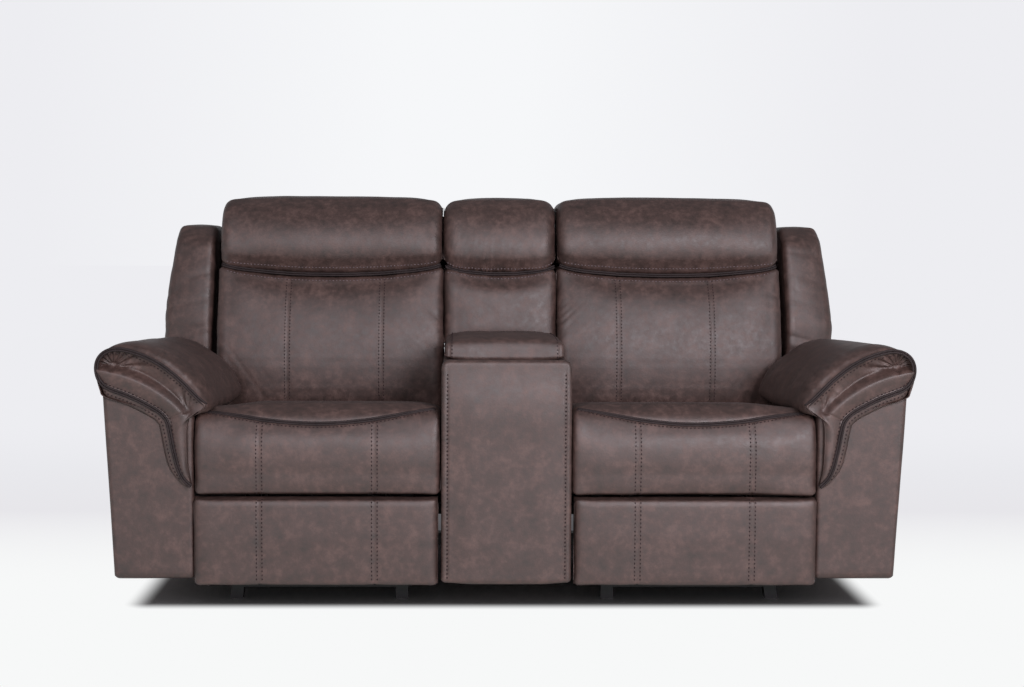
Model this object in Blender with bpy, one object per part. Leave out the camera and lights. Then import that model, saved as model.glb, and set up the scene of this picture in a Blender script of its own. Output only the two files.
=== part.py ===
"""Reclining loveseat with a storage console.

Two reclining seats with swing-out footrests, pillow-top arms, and a fixed console between them with two cup
holders and a storage bin. Metres, +Z up, front towards -Y, origin on the floor under the middle.
"""

import math

import bmesh
import bpy
from mathutils import Matrix, Vector

# Clearances
TOUCH = 0.0003
SIDE_GAP = 0.005
SPLIT_GAP = 0.004
PIN_CLEARANCE = 0.0004

# Overall places, front to rear
FRONT_Y = -0.4875
REAR_TOP_Y = 0.4875
REAR_BOTTOM_Y = 0.430

# Base: rails with feet, cross tubes, stretchers
RAIL_WIDTH = 0.030
FOOT_LENGTH = 0.030
FOOT_HEIGHT = 0.050
FOOT_SPLAY = 0.010
FRONT_FOOT_SETBACK = 0.105
REAR_FOOT_SETBACK = 0.060
RAIL_HEIGHT = 0.035
RAIL_INSET = 0.090
POST_LENGTH = 0.140
POST_Y = -0.030
RUNNER_LENGTH = 0.280
RUNNER_THICKNESS = 0.020
TUBE_SIZE = 0.030
FRONT_TUBE_Y = -0.135
REAR_TUBE_Y = 0.285
STRETCHER_SIZE = 0.020
STRETCHER_Z = 0.028
APRON_THICKNESS = 0.015
APRON_HEIGHT = 0.165

# Console
UNDERSIDE = 0.075
CONSOLE_WIDTH = 0.300
CONSOLE_WALL = 0.018
CONSOLE_HEIGHT = 0.497
CONSOLE_PAD_SPREAD = 0.003
CONSOLE_PAD_THICKNESS = 0.032
CONSOLE_PAD_RISE = 0.012
DECK_THICKNESS = 0.017
DECK_DEPTH = 0.146
CUP_SPACING = 0.140
CUP_RADIUS = 0.040
CUP_WALL = 0.002
CUP_DEPTH = 0.075
CUP_RIM_WIDTH = 0.006
CUP_RIM_HEIGHT = 0.004
BIN_DEPTH = 0.350
BIN_WALL = 0.003
LID_REAR_Y = 0.030
LID_DEPTH = 0.335
LID_WIDTH = 0.294
LID_BOARD_THICKNESS = 0.012
LID_PAD_THICKNESS = 0.032
LID_CROWN = 0.006

# Seats
SEAT_WIDTH = 0.570
SEAT_FRONT_HEIGHT = 0.192
SEAT_REAR_DROP = 0.036
SEAT_REAR_Y = 0.085
SEAT_LIP = 0.046
SEAT_CROWN = 0.008
DECK_RISE = 0.058
SEAT_DECK_THICKNESS = 0.020
SEAT_RUNNER_HEIGHT = 0.040
SEAT_RUNNER_LENGTH = 0.330

# Footrests and their links
FOOTREST_BOTTOM = 0.070
FOOTREST_HEIGHT = 0.198
FOOTREST_PAD_THICKNESS = 0.044
FOOTREST_BOARD_THICKNESS = 0.012
FOOTREST_BOARD_MARGIN = 0.012
DRIVE_PIVOT_Y = -0.330
DRIVE_PIVOT_DROP = 0.040
DRIVE_ARM_LENGTH = 0.150
DRIVE_ARM_REST_DEG = 165.0
DRIVE_TUBE_RADIUS = 0.011
FOOTREST_PIVOT_HEIGHT = 0.120
FOOTREST_PIVOT_SETBACK = 0.0195
LINK_HALF_WIDTH = 0.014
LINK_THICKNESS = 0.005
LINK_PIN_RADIUS = 0.006
BEARING_PLATE_THICKNESS = 0.006
BEARING_PLATE_INSET = 0.132
BEARING_PLATE_LENGTH = 0.060

# Arms
ARM_BASE_WIDTH = 0.189
ARM_FLARE = 0.0195
ARM_FRONT_Y = -0.470
ARM_TOP_DROP = 0.014
ARM_STEP_Y = 0.080
ARM_REAR_HEIGHT = 0.090
ARM_STEP_RUN = 0.020
ARM_SLOPE_REACH = 0.125
PILLOW_INNER_OVERHANG = 0.077
PILLOW_OUTER_OVERHANG = 0.0135
PILLOW_HEIGHT = 0.182
PILLOW_CLEARANCE = 0.007
PILLOW_REAR_Y = 0.072
PILLOW_REAR_LAP = 0.046
BAND_EDGE = 0.004
BAND_RISE = 0.166
BAND_DROP = 0.143

# Backs
BACK_PIVOT_Y = 0.205
BACK_PIVOT_Z = 0.388
BACK_WIDTH = 0.610
BACK_FRAME_GAP = 0.015
BACK_FRAME_WIDTH = 0.619
BACK_FRAME_TOP = 0.930
BACK_LEAN = 0.190
BACK_CROWN = 0.012
BACK_LEG_DROP = 0.022
BACK_FOLD_SHARE = 0.227
BACK_BELLY_SHARE = 0.396
BACK_SHOULDER_SHARE = 0.662
CENTRE_BELLY_SHARE = 0.400
FRAME_CHAMFER_DEPTH = 0.028
FRAME_CHAMFER_DROP = 0.030
LUG_HEIGHT = 0.086
LUG_DEPTH = 0.068
LUG_PIN_SETBACK = 0.033
LUMBAR_DEPTH = 0.146
BELLY_BULGE = 0.016
SHOULDER_BULGE = 0.010
HEADREST_HEIGHT = 0.198
HEADREST_COVER = 0.048
HEADREST_SETBACK = 0.008
HEADREST_OVERHANG = 0.075
PIVOT_PIN_RADIUS = 0.0095
PIVOT_PIN_LENGTH = 0.030
PIVOT_PLATE_THICKNESS = 0.008
PIVOT_PLATE_RADIUS = 0.025
PIVOT_PLATE_INSET = 0.0513
WING_WIDTH = 0.130
WING_DROP = 0.030
WING_SETBACK = 0.0074
WING_CLEARANCE = 0.024

# Sewn channels
SEAM_DEPTH = 0.004
SEAM_HALF_WIDTH = 0.012
SEAT_SEAM_SHARE = 0.265
BACK_SEAM_SHARE = 0.280

# Release levers
RELEASE_Y = -0.190
RELEASE_HEIGHT = 0.250
RELEASE_LENGTH = 0.110
RELEASE_DROP = 0.080
RELEASE_DEPTH = 0.014
RELEASE_WALL = 0.004
LEVER_THICKNESS = 0.005
LEVER_FINGER_GAP = 0.014

# Round pieces
ROUND_SIDES = 24
CUP_SIDES = 32

# Places worked out from the sizes above
console_half = CONSOLE_WIDTH / 2
console_pad_half = console_half + CONSOLE_PAD_SPREAD
console_top = UNDERSIDE + CONSOLE_HEIGHT
console_front_y = FRONT_Y + CONSOLE_PAD_THICKNESS
deck_rear_y = console_front_y + DECK_DEPTH
lid_front_y = LID_REAR_Y - LID_DEPTH
seat_inner = console_pad_half + SIDE_GAP
seat_outer = seat_inner + SEAT_WIDTH
arm_inner = seat_outer + SIDE_GAP
split_z = FOOTREST_BOTTOM + FOOTREST_HEIGHT
seat_front_bottom = split_z + SPLIT_GAP
seat_crest = seat_front_bottom + SEAT_FRONT_HEIGHT
seat_deck_top = seat_front_bottom + DECK_RISE
seat_deck_bottom = seat_deck_top - SEAT_DECK_THICKNESS
seat_front_y = FRONT_Y + SEAT_CROWN
seat_deck_front = seat_front_y + SEAT_LIP + TOUCH
runner_top = seat_deck_bottom - SEAT_RUNNER_HEIGHT - TOUCH
rail_top = FOOT_HEIGHT + RAIL_HEIGHT
inner_rail_x = seat_inner + RAIL_INSET
outer_rail_x = seat_outer - RAIL_INSET
front_foot_y = FRONT_Y + FRONT_FOOT_SETBACK + FOOT_LENGTH / 2
rear_foot_y = REAR_BOTTOM_Y - REAR_FOOT_SETBACK - FOOT_LENGTH / 2
arm_top = seat_crest - ARM_TOP_DROP
arm_width_top = ARM_BASE_WIDTH + ARM_FLARE
arm_outer_top = arm_inner + arm_width_top
arm_bottom = UNDERSIDE + TOUCH
back_inner = console_pad_half + SIDE_GAP
back_outer = back_inner + BACK_WIDTH
frame_inner = console_half + BACK_FRAME_GAP
frame_outer = frame_inner + BACK_FRAME_WIDTH
wing_inner = frame_outer + TOUCH
wing_outer = wing_inner + WING_WIDTH
back_leg_bottom = BACK_PIVOT_Z - BACK_LEG_DROP
headrest_top = BACK_FRAME_TOP + HEADREST_COVER
headrest_seam = headrest_top - HEADREST_HEIGHT
wing_top = BACK_FRAME_TOP - WING_DROP
lug_front_y = BACK_PIVOT_Y - LUG_PIN_SETBACK
lug_top = BACK_PIVOT_Z + LUG_HEIGHT / 2
lug_bottom = BACK_PIVOT_Z - LUG_HEIGHT / 2
frame_foot_y = lug_front_y + LUG_DEPTH
drive_pivot_z = seat_front_bottom - DRIVE_PIVOT_DROP
footrest_board_rear_y = FRONT_Y + FOOTREST_PAD_THICKNESS + TOUCH + FOOTREST_BOARD_THICKNESS
footrest_pivot_y = footrest_board_rear_y + FOOTREST_PIVOT_SETBACK
footrest_pivot_z = FOOTREST_BOTTOM + FOOTREST_PIVOT_HEIGHT
arm_slope_end = BACK_PIVOT_Y + ARM_SLOPE_REACH
link_pivot_y = DRIVE_PIVOT_Y - DRIVE_ARM_LENGTH * math.cos(math.radians(DRIVE_ARM_REST_DEG))
link_pivot_z = drive_pivot_z - DRIVE_ARM_LENGTH * math.sin(math.radians(DRIVE_ARM_REST_DEG))
bearing_inner = seat_inner + BEARING_PLATE_INSET
bearing_outer = seat_outer - BEARING_PLATE_INSET
release_z = UNDERSIDE + RELEASE_HEIGHT
arm_slope = ARM_FLARE / (arm_top - arm_bottom)


def clear_scene():
    for thing in list(bpy.data.objects):
        bpy.data.objects.remove(thing, do_unlink=True)


def make_material(name, colour, roughness, metallic):
    material = bpy.data.materials.new(name)
    material.use_nodes = True
    shader = material.node_tree.nodes["Principled BSDF"]
    shader.inputs["Base Color"].default_value = (*colour, 1.0)
    shader.inputs["Roughness"].default_value = roughness
    shader.inputs["Metallic"].default_value = metallic
    return material


def add_object(name, mesh_builder, material):
    mesh = bpy.data.meshes.new(name)
    bmesh.ops.recalc_face_normals(mesh_builder, faces=mesh_builder.faces)
    mesh_builder.to_mesh(mesh)
    mesh_builder.free()
    mesh.materials.append(material)
    thing = bpy.data.objects.new(name, mesh)
    bpy.context.scene.collection.objects.link(thing)
    return thing


def shade_round(thing):
    thing.data.shade_smooth()
    thing.data.set_sharp_from_angle(angle=math.radians(40))
    return thing


def skin(name, rings, material):
    """Close a stack of equal rings into one body, with a flat cap at each end."""
    builder = bmesh.new()
    rows = [[builder.verts.new(point) for point in ring] for ring in rings]
    count = len(rings[0])
    for lower, upper in zip(rows, rows[1:]):
        for i in range(count):
            j = (i + 1) % count
            builder.faces.new((lower[i], lower[j], upper[j], upper[i]))
    builder.faces.new(rows[0])
    builder.faces.new(rows[-1])
    return add_object(name, builder, material)


def prism(name, outline, x_start, x_end, material):
    """Extrude an outline of (y, z) points along X."""
    rings = [[Vector((x, y, z)) for y, z in outline] for x in (x_start, x_end)]
    return skin(name, rings, material)


def block(name, x_start, x_end, y_start, y_end, z_start, z_end, material):
    outline = [(y_start, z_start), (y_end, z_start), (y_end, z_end), (y_start, z_end)]
    return prism(name, outline, x_start, x_end, material)


def circle(y, z, radius, sides=ROUND_SIDES):
    turn = 2 * math.pi / sides
    return [(y + radius * math.cos(i * turn), z + radius * math.sin(i * turn)) for i in range(sides)]


def rod(name, x_start, x_end, y, z, radius, material):
    return prism(name, circle(y, z, radius), x_start, x_end, material)


def capsule(start, end, radius, steps=8):
    """Outline of a flat link: two round ends joined by straight sides."""
    along = math.atan2(end[1] - start[1], end[0] - start[0])
    points = []
    for centre, first in ((end, along - math.pi / 2), (start, along + math.pi / 2)):
        for i in range(steps + 1):
            angle = first + math.pi * i / steps
            points.append((centre[0] + radius * math.cos(angle), centre[1] + radius * math.sin(angle)))
    return points


def combine(target, tool, operation):
    """Join a tool to a target, or cut it out, and drop the tool."""
    modifier = target.modifiers.new(operation.title(), "BOOLEAN")
    modifier.operation = operation
    modifier.solver = "EXACT"
    modifier.object = tool
    graph = bpy.context.evaluated_depsgraph_get()
    joined = bpy.data.meshes.new_from_object(target.evaluated_get(graph))
    plain = target.data
    name = plain.name
    target.modifiers.clear()
    target.data = joined
    bpy.data.meshes.remove(plain)
    joined.name = name
    bpy.data.objects.remove(tool, do_unlink=True)
    return target


def round_corners(corners, steps=3):
    """Turn corners of (u, v, radius, softness) into points of (u, v, softness) with round corners."""
    points = []
    count = len(corners)
    for i, (u, v, radius, softness) in enumerate(corners):
        here = Vector((u, v))
        before = Vector(corners[i - 1][:2]) - here
        after = Vector(corners[(i + 1) % count][:2]) - here
        if radius <= 0:
            points.append((u, v, softness))
            continue
        half = before.angle(after) / 2
        reach = radius / math.tan(half)
        reach = min(reach, before.length * 0.48, after.length * 0.48)
        start = here + before.normalized() * reach
        end = here + after.normalized() * reach
        for k in range(steps + 1):
            t = k / steps
            point = start * (1 - t) ** 2 + here * 2 * t * (1 - t) + end * t ** 2
            points.append((point.x, point.y, softness))
    return points


def outward(points):
    """Unit normals that point out of a closed outline."""
    count = len(points)
    area = 0.0
    for i in range(count):
        j = (i + 1) % count
        area += points[i][0] * points[j][1] - points[j][0] * points[i][1]
    turn = 1.0 if area > 0 else -1.0
    normals = []
    for i in range(count):
        before = Vector(points[i][:2]) - Vector(points[i - 1][:2])
        after = Vector(points[(i + 1) % count][:2]) - Vector(points[i][:2])
        along = before.normalized() + after.normalized()
        normals.append(Vector((along.y, -along.x)).normalized() * turn)
    return normals


def draw_in(distance, reach):
    """How far a soft side is drawn in at a distance from its end."""
    if distance >= reach:
        return 0.0
    share = 1 - distance / reach
    return reach * (1 - math.sqrt(1 - share * share))


def soft_rings(corners, length, reach, crown, seams=(), low=-1.0, high=2.0):
    """Rings of (along, u, v) for a soft body: crowned in the middle, drawn in at its ends, with channels.

    Nothing of it goes below the height low or above the height high, where it meets its neighbours.
    """
    points = round_corners(corners)
    normals = outward(points)
    places = [0.0, 0.12 * reach, 0.45 * reach, reach]
    places += [length - place for place in places]
    for seam in seams:
        places += [seam - SEAM_HALF_WIDTH, seam, seam + SEAM_HALF_WIDTH]
    if not seams:
        places += [length * 0.5]
    rings = []
    for place in sorted(places):
        inset = draw_in(place, reach) + draw_in(length - place, reach)
        swell = crown * (1 - (2 * place / length - 1) ** 2)
        dip = SEAM_DEPTH if place in seams else 0.0
        ring = []
        for (u, v, softness), normal in zip(points, normals):
            shift = (swell - inset - dip) * softness
            height = min(high, max(low, v + normal.y * shift))
            ring.append((place, u + normal.x * shift, height))
        rings.append(ring)
    return rings


def cushion(name, side, x_start, x_end, corners, reach, crown, material, seams=(), low=-1.0, high=2.0):
    """A soft body between two X places on one side, from its profile in (y, z)."""
    rings = []
    for ring in soft_rings(corners, x_end - x_start, reach, crown, seams, low, high):
        rings.append([Vector((side * (x_start + along), u, v)) for along, u, v in ring])
    return shade_round(skin(name, rings, material))


def frame_front(z):
    """Y place of a back frame's front face at a height."""
    return frame_foot_y + BACK_LEAN * (z - lug_top)


def frame_rear(z):
    """Y place of a back frame's rear face at a height."""
    share = (z - APRON_HEIGHT) / (BACK_FRAME_TOP - APRON_HEIGHT)
    return REAR_BOTTOM_Y + (REAR_TOP_Y - REAR_BOTTOM_Y) * max(0.0, share)


def side_name(side):
    return "left" if side < 0 else "right"


def pivot(name, place, parent=None):
    """An empty on a joint's axis. Moving pieces hang from it."""
    empty = bpy.data.objects.new(name, None)
    empty.empty_display_size = 0.05
    bpy.context.scene.collection.objects.link(empty)
    empty["place"] = place
    if parent is None:
        empty.location = place
    else:
        empty.parent = parent
        empty.location = Vector(place) - Vector(parent["place"])
    return empty


def hang(thing, empty):
    thing.data.transform(Matrix.Translation(-Vector(empty["place"])))
    thing.parent = empty
    return thing


def make_base_rail(side, label, x, splay, steel):
    """A rail with two feet, a post and the runner that carries the seat, welded into one piece."""
    half = RAIL_WIDTH / 2
    front = front_foot_y - FOOT_LENGTH / 2
    rear = rear_foot_y + FOOT_LENGTH / 2
    post_front = POST_Y - POST_LENGTH / 2
    post_rear = POST_Y + POST_LENGTH / 2
    run_front = POST_Y - RUNNER_LENGTH / 2
    run_rear = POST_Y + RUNNER_LENGTH / 2
    under = runner_top - RUNNER_THICKNESS
    outline = [(front, FOOT_HEIGHT), (rear, FOOT_HEIGHT), (rear, rail_top), (post_rear, rail_top)]
    outline += [(post_rear, under), (run_rear, under), (run_rear, runner_top), (run_front, runner_top)]
    outline += [(run_front, under), (post_front, under), (post_front, rail_top), (front, rail_top)]
    name = "base_rail_" + side_name(side) + "_" + label
    rail = prism(name, outline, side * (x - half), side * (x + half), steel)
    for y in (front_foot_y, rear_foot_y):
        rings = []
        for z, shift in ((0.0, splay), (FOOT_HEIGHT + RAIL_HEIGHT / 2, 0.0)):
            corners = [(-half, -1), (half, -1), (half, 1), (-half, 1)]
            rings.append([Vector((side * (x + u + shift), y + w * FOOT_LENGTH / 2, z)) for u, w in corners])
        combine(rail, skin("foot", rings, steel), "UNION")
    return rail


def make_cross_tube(side, label, y, steel):
    name = "cross_tube_" + side_name(side) + "_" + label
    bottom = rail_top + TOUCH
    inner = side * (console_half + TOUCH)
    outer = side * (arm_inner - TOUCH)
    return block(name, inner, outer, y - TUBE_SIZE / 2, y + TUBE_SIZE / 2, bottom, bottom + TUBE_SIZE, steel)


def make_stretcher(side, steel):
    inner = side * (inner_rail_x + RAIL_WIDTH / 2 + TOUCH)
    splay_here = FOOT_SPLAY * (1 - STRETCHER_Z / (FOOT_HEIGHT + RAIL_HEIGHT / 2))
    top_splay = FOOT_SPLAY * (1 - (STRETCHER_Z + STRETCHER_SIZE) / (FOOT_HEIGHT + RAIL_HEIGHT / 2))
    outer = outer_rail_x - RAIL_WIDTH / 2 - TOUCH
    rings = []
    low = STRETCHER_Z
    high = STRETCHER_Z + STRETCHER_SIZE
    y0 = front_foot_y - STRETCHER_SIZE / 2
    y1 = front_foot_y + STRETCHER_SIZE / 2
    rings.append([Vector((inner, y, z)) for y, z in ((y0, low), (y1, low), (y1, high), (y0, high))])
    ends = ((y0, low, splay_here), (y1, low, splay_here), (y1, high, top_splay), (y0, high, top_splay))
    rings.append([Vector((side * (outer + shift), y, z)) for y, z, shift in ends])
    return skin("stretcher_" + side_name(side), rings, steel)


def make_apron(side, cloth):
    inner = side * (console_half + TOUCH)
    outer = side * (arm_inner - TOUCH)
    front = REAR_BOTTOM_Y - APRON_THICKNESS
    top = UNDERSIDE + APRON_HEIGHT
    return block("rear_apron_" + side_name(side), inner, outer, front, REAR_BOTTOM_Y, UNDERSIDE, top, cloth)


def make_console(leather, plastic, wood, chrome):
    half = console_half
    shelf = console_top - DECK_THICKNESS - TOUCH
    body = block("console_body", -half, half, console_front_y + TOUCH, REAR_BOTTOM_Y, UNDERSIDE, console_top, leather)
    inside = half - CONSOLE_WALL
    front = console_front_y
    above = console_top + CONSOLE_WALL
    step = block("step", -CONSOLE_WIDTH, CONSOLE_WIDTH, front - CONSOLE_WALL, deck_rear_y + TOUCH, shelf, above, wood)
    combine(body, step, "DIFFERENCE")
    well_floor = console_top - CUP_DEPTH - CONSOLE_WALL
    well_rear = deck_rear_y - CONSOLE_WALL
    well = block("well", -inside, inside, front + CONSOLE_WALL, well_rear, well_floor, above, wood)
    combine(body, well, "DIFFERENCE")
    bin_front = deck_rear_y + CONSOLE_WALL
    bin_rear = LID_REAR_Y - CONSOLE_WALL
    bin_floor = console_top - BIN_DEPTH
    hollow = block("hollow", -inside, inside, bin_front, bin_rear, bin_floor, above, wood)
    combine(body, hollow, "DIFFERENCE")

    pad_top = console_top + CONSOLE_PAD_RISE
    soft = 1.0
    corners = [(FRONT_Y, UNDERSIDE, 0.006, 0.4), (FRONT_Y, pad_top, 0.024, soft)]
    corners += [(console_front_y, pad_top, 0.015, soft), (console_front_y, UNDERSIDE, 0.0, 0.0)]
    pad_half = console_pad_half
    cushion("console_front_pad", 1, -pad_half, pad_half, corners, 0.012, 0.0, leather)

    deck = block("console_deck", -half, half, front + TOUCH, deck_rear_y, shelf + TOUCH, console_top, plastic)
    cup_y = (front + deck_rear_y) / 2
    for side in (-1, 1):
        x = side * CUP_SPACING / 2
        rim_bottom = console_top + TOUCH
        rim_top = rim_bottom + CUP_RIM_HEIGHT
        floor = console_top - CUP_DEPTH
        rim = CUP_RADIUS + CUP_RIM_WIDTH
        inner = CUP_RADIUS - CUP_WALL
        turn = [(CUP_RADIUS - CUP_WALL, floor), (CUP_RADIUS, floor + CUP_WALL), (CUP_RADIUS, rim_bottom)]
        turn += [(rim, rim_bottom), (rim, rim_top - CUP_WALL), (rim - CUP_WALL, rim_top), (inner + CUP_WALL, rim_top)]
        turn += [(inner, rim_top - CUP_WALL), (inner, floor + 2 * CUP_WALL), (inner - CUP_WALL, floor + CUP_WALL)]
        rings = [turned_ring(x, cup_y, radius, z) for radius, z in turn]
        shade_round(skin("cup_holder_" + side_name(side), rings, chrome))
        reach = CUP_RADIUS + TOUCH
        hole_rings = [turned_ring(x, cup_y, reach, z) for z in (shelf - CONSOLE_WALL, above)]
        combine(deck, skin("hole", hole_rings, plastic), "DIFFERENCE")

    gap = TOUCH
    outer = (-inside + gap, inside - gap, bin_front + gap, bin_rear - gap)
    inner = (outer[0] + BIN_WALL, outer[1] - BIN_WALL, outer[2] + BIN_WALL, outer[3] - BIN_WALL)
    low = bin_floor + gap
    high = console_top - BIN_WALL
    tub = [(outer, low), (outer, high), (inner, high), (inner, low + BIN_WALL)]
    skin("storage_bin", [level_ring(edges, z) for edges, z in tub], plastic)


def turned_ring(x, y, radius, z):
    return [Vector((u, v, z)) for u, v in circle(x, y, radius, CUP_SIDES)]


def level_ring(edges, z):
    left, right, front, rear = edges
    return [Vector((x, y, z)) for x, y in ((left, front), (right, front), (right, rear), (left, rear))]


def make_lid(leather, wood):
    half = LID_WIDTH / 2
    bottom = console_top + TOUCH
    board_top = bottom + LID_BOARD_THICKNESS
    hinge = pivot("lid_pivot", (0.0, LID_REAR_Y, bottom))
    margin = 0.006
    front = lid_front_y + margin
    board = block("lid_board", -half + margin, half - margin, front, LID_REAR_Y, bottom, board_top, wood)
    hang(board, hinge)
    pad_bottom = board_top + TOUCH
    top = pad_bottom + LID_PAD_THICKNESS
    front = lid_front_y + LID_CROWN
    rear = LID_REAR_Y - LID_CROWN
    middle = (front + rear) / 2
    corners = [(front, pad_bottom, 0.0, 0.0), (front, top, 0.024, 1.0), (middle, top, 0.0, 1.0)]
    corners += [(rear, top, 0.024, 1.0), (rear, pad_bottom, 0.0, 0.0), (middle, pad_bottom, 0.0, 0.0)]
    pad = cushion("lid_pad", 1, -half, half, corners, 0.014, LID_CROWN, leather, low=pad_bottom)
    hang(pad, hinge)


def make_centre_back(leather, wood):
    foot = console_top + TOUCH
    outline = [(frame_front(foot), foot), (frame_front(BACK_FRAME_TOP), BACK_FRAME_TOP)]
    outline += frame_top_rear() + [(frame_rear(foot), foot)]
    prism("centre_back_frame", outline, -console_half, console_half, wood)
    lumbar = frame_front(foot) - LUMBAR_DEPTH
    belly = foot + CENTRE_BELLY_SHARE * (headrest_seam - foot)
    belly_y = frame_front(belly) - LUMBAR_DEPTH - SHOULDER_BULGE
    corners = [(lumbar + SHOULDER_BULGE, foot, 0.0, 0.7), (belly_y, belly, 0.05, 1.0)]
    corners += back_top_corners()
    corners += [(frame_front(foot) - TOUCH, foot, 0.0, 0.0)]
    half = console_pad_half
    seam = headrest_seam
    crown = BACK_CROWN
    cushion("centre_back_cushion", 1, -half, half, corners, 0.024, crown, leather, low=foot, high=seam - TOUCH)
    cushion("centre_headrest", 1, -half, half, headrest_corners(), 0.030, crown, leather, low=seam)


def back_height(share):
    """Height on a back cushion, as a share of the way from its foot to the seam under the headrest."""
    return back_leg_bottom + share * (headrest_seam - back_leg_bottom)


def frame_top_rear():
    """The chamfered rear edge along the top of a back frame."""
    top = BACK_FRAME_TOP
    return [(frame_rear(top) - FRAME_CHAMFER_DEPTH, top), (REAR_TOP_Y, top - FRAME_CHAMFER_DROP)]


def back_top_corners():
    """The top of a back cushion: its front edge at the seam under the headrest, then its rear edge."""
    seam = headrest_seam
    seam_front = frame_front(seam) - LUMBAR_DEPTH
    corners = [(seam_front + HEADREST_SETBACK, seam - TOUCH, 0.0, 0.8)]
    corners += [(frame_front(seam) - TOUCH, seam - TOUCH, 0.0, 0.0)]
    return corners


def headrest_corners():
    seam = headrest_seam
    top = headrest_top
    seam_front = frame_front(seam) - LUMBAR_DEPTH
    frame_top = BACK_FRAME_TOP + TOUCH
    overhang = frame_front(BACK_FRAME_TOP) + HEADREST_OVERHANG
    corners = [(seam_front + HEADREST_SETBACK, seam, 0.0, 0.8)]
    corners += [(seam_front - SHOULDER_BULGE, seam + 0.38 * HEADREST_HEIGHT, 0.06, 1.0)]
    corners += [(seam_front + 0.022, top, 0.060, 1.0), (overhang, top, 0.045, 1.0)]
    corners += [(overhang + 0.006, frame_top, 0.0, 0.0), (frame_front(frame_top) - TOUCH, frame_top, 0.0, 0.0)]
    corners += [(frame_front(seam) - TOUCH, seam, 0.0, 0.0)]
    return corners


def arm_outer(z):
    """X place of the arm's slanted outer face at a height."""
    return arm_inner + ARM_BASE_WIDTH + arm_slope * (z - arm_bottom)


def arm_step_line(y):
    """Height of the arm's stepped-down rear top at a place behind the step."""
    first = (ARM_STEP_Y + ARM_STEP_RUN, lug_bottom)
    second = (arm_slope_end, UNDERSIDE + ARM_REAR_HEIGHT)
    share = (y - first[0]) / (second[0] - first[0])
    return first[1] + (second[1] - first[1]) * share


def make_arm_box(side, leather):
    rear_top = UNDERSIDE + ARM_REAR_HEIGHT
    step = ARM_STEP_Y + ARM_STEP_RUN
    outline = [(ARM_FRONT_Y, arm_bottom), (ARM_FRONT_Y, arm_top), (ARM_STEP_Y, arm_top)]
    outline += [(step, arm_step_line(step)), (arm_slope_end, rear_top)]
    outline += [(REAR_BOTTOM_Y, rear_top), (REAR_BOTTOM_Y, arm_bottom)]
    inner = [Vector((side * arm_inner, y, z)) for y, z in outline]
    outer = [Vector((side * arm_outer(z), y, z)) for y, z in outline]
    return skin("arm_box_" + side_name(side), [inner, outer], leather)


def make_arm_pillow(side, leather):
    """The pillow on top of an arm: it hangs over the seat on the inside and rolls over the outside."""
    low = arm_top + TOUCH
    lip = arm_inner - PILLOW_INNER_OVERHANG
    roll = arm_outer_top + PILLOW_OUTER_OVERHANG
    crest = low + PILLOW_HEIGHT
    corners = [(arm_outer_top - 0.010, low, 0.0, 0.0), (arm_inner + 0.003, low, 0.0, 0.0)]
    under = seat_crest + PILLOW_CLEARANCE
    corners += [(arm_inner - 0.030, under, 0.010, 0.1), (lip, under + 0.012, 0.018, 0.4)]
    corners += [(lip + 0.014, under + 0.050, 0.040, 0.9), (arm_inner + arm_width_top * 0.42, crest - 0.030, 0.10, 1.0)]
    corners += [(arm_outer_top - 0.050, crest, 0.060, 1.0), (roll, crest - 0.020, 0.045, 1.0)]
    corners += [(roll - 0.003, low + 0.066, 0.034, 0.8)]
    length = PILLOW_REAR_Y - ARM_FRONT_Y
    rings = []
    for ring in soft_rings(corners, length, 0.030, 0.004):
        row = []
        for along, x, z in ring:
            outside = min(1.0, max(0.0, (x - arm_inner - 0.040) / 0.040))
            y = ARM_FRONT_Y + along * (1 + outside * PILLOW_REAR_LAP / length)
            row.append(Vector((side * x, y, z)))
        rings.append(row)
    return shade_round(skin("arm_pillow_" + side_name(side), rings, leather))


def make_arm_band(side, leather):
    """The padded band on the arm's front, between two lines of piping, that runs down beside the seat."""
    width = arm_width_top
    upper = [(1.045, 0.69), (1.03, 0.86), (0.902, 1.0), (0.703, 0.98), (0.351, 0.80), (0.1045, 0.54)]
    upper += [(-0.0475, 0.34), (-0.1235, 0.24), (-0.1235, 0.16), (0.01, 0.07), (0.01, -0.91)]
    lower = [(0.053, -1.0), (0.1425, -0.78), (0.209, -0.42), (0.2565, -0.06), (0.38, 0.13), (0.703, 0.34)]
    lower += [(0.9785, 0.48)]
    outline = []
    for share, height in upper + lower:
        rise = height * (BAND_RISE if height > 0 else BAND_DROP)
        outline.append((arm_inner + share * width, arm_top + rise, 1.0))
    normals = outward(outline)
    back = ARM_FRONT_Y - TOUCH
    rings = []
    for y, inset in ((back, 0.0), (FRONT_Y + BAND_EDGE, 0.0), (FRONT_Y, BAND_EDGE)):
        ring = []
        for (x, z, softness), normal in zip(outline, normals):
            ring.append(Vector((side * (x - normal.x * inset), y, z - normal.y * inset)))
        rings.append(ring)
    return skin("arm_band_" + side_name(side), rings, leather)


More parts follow.
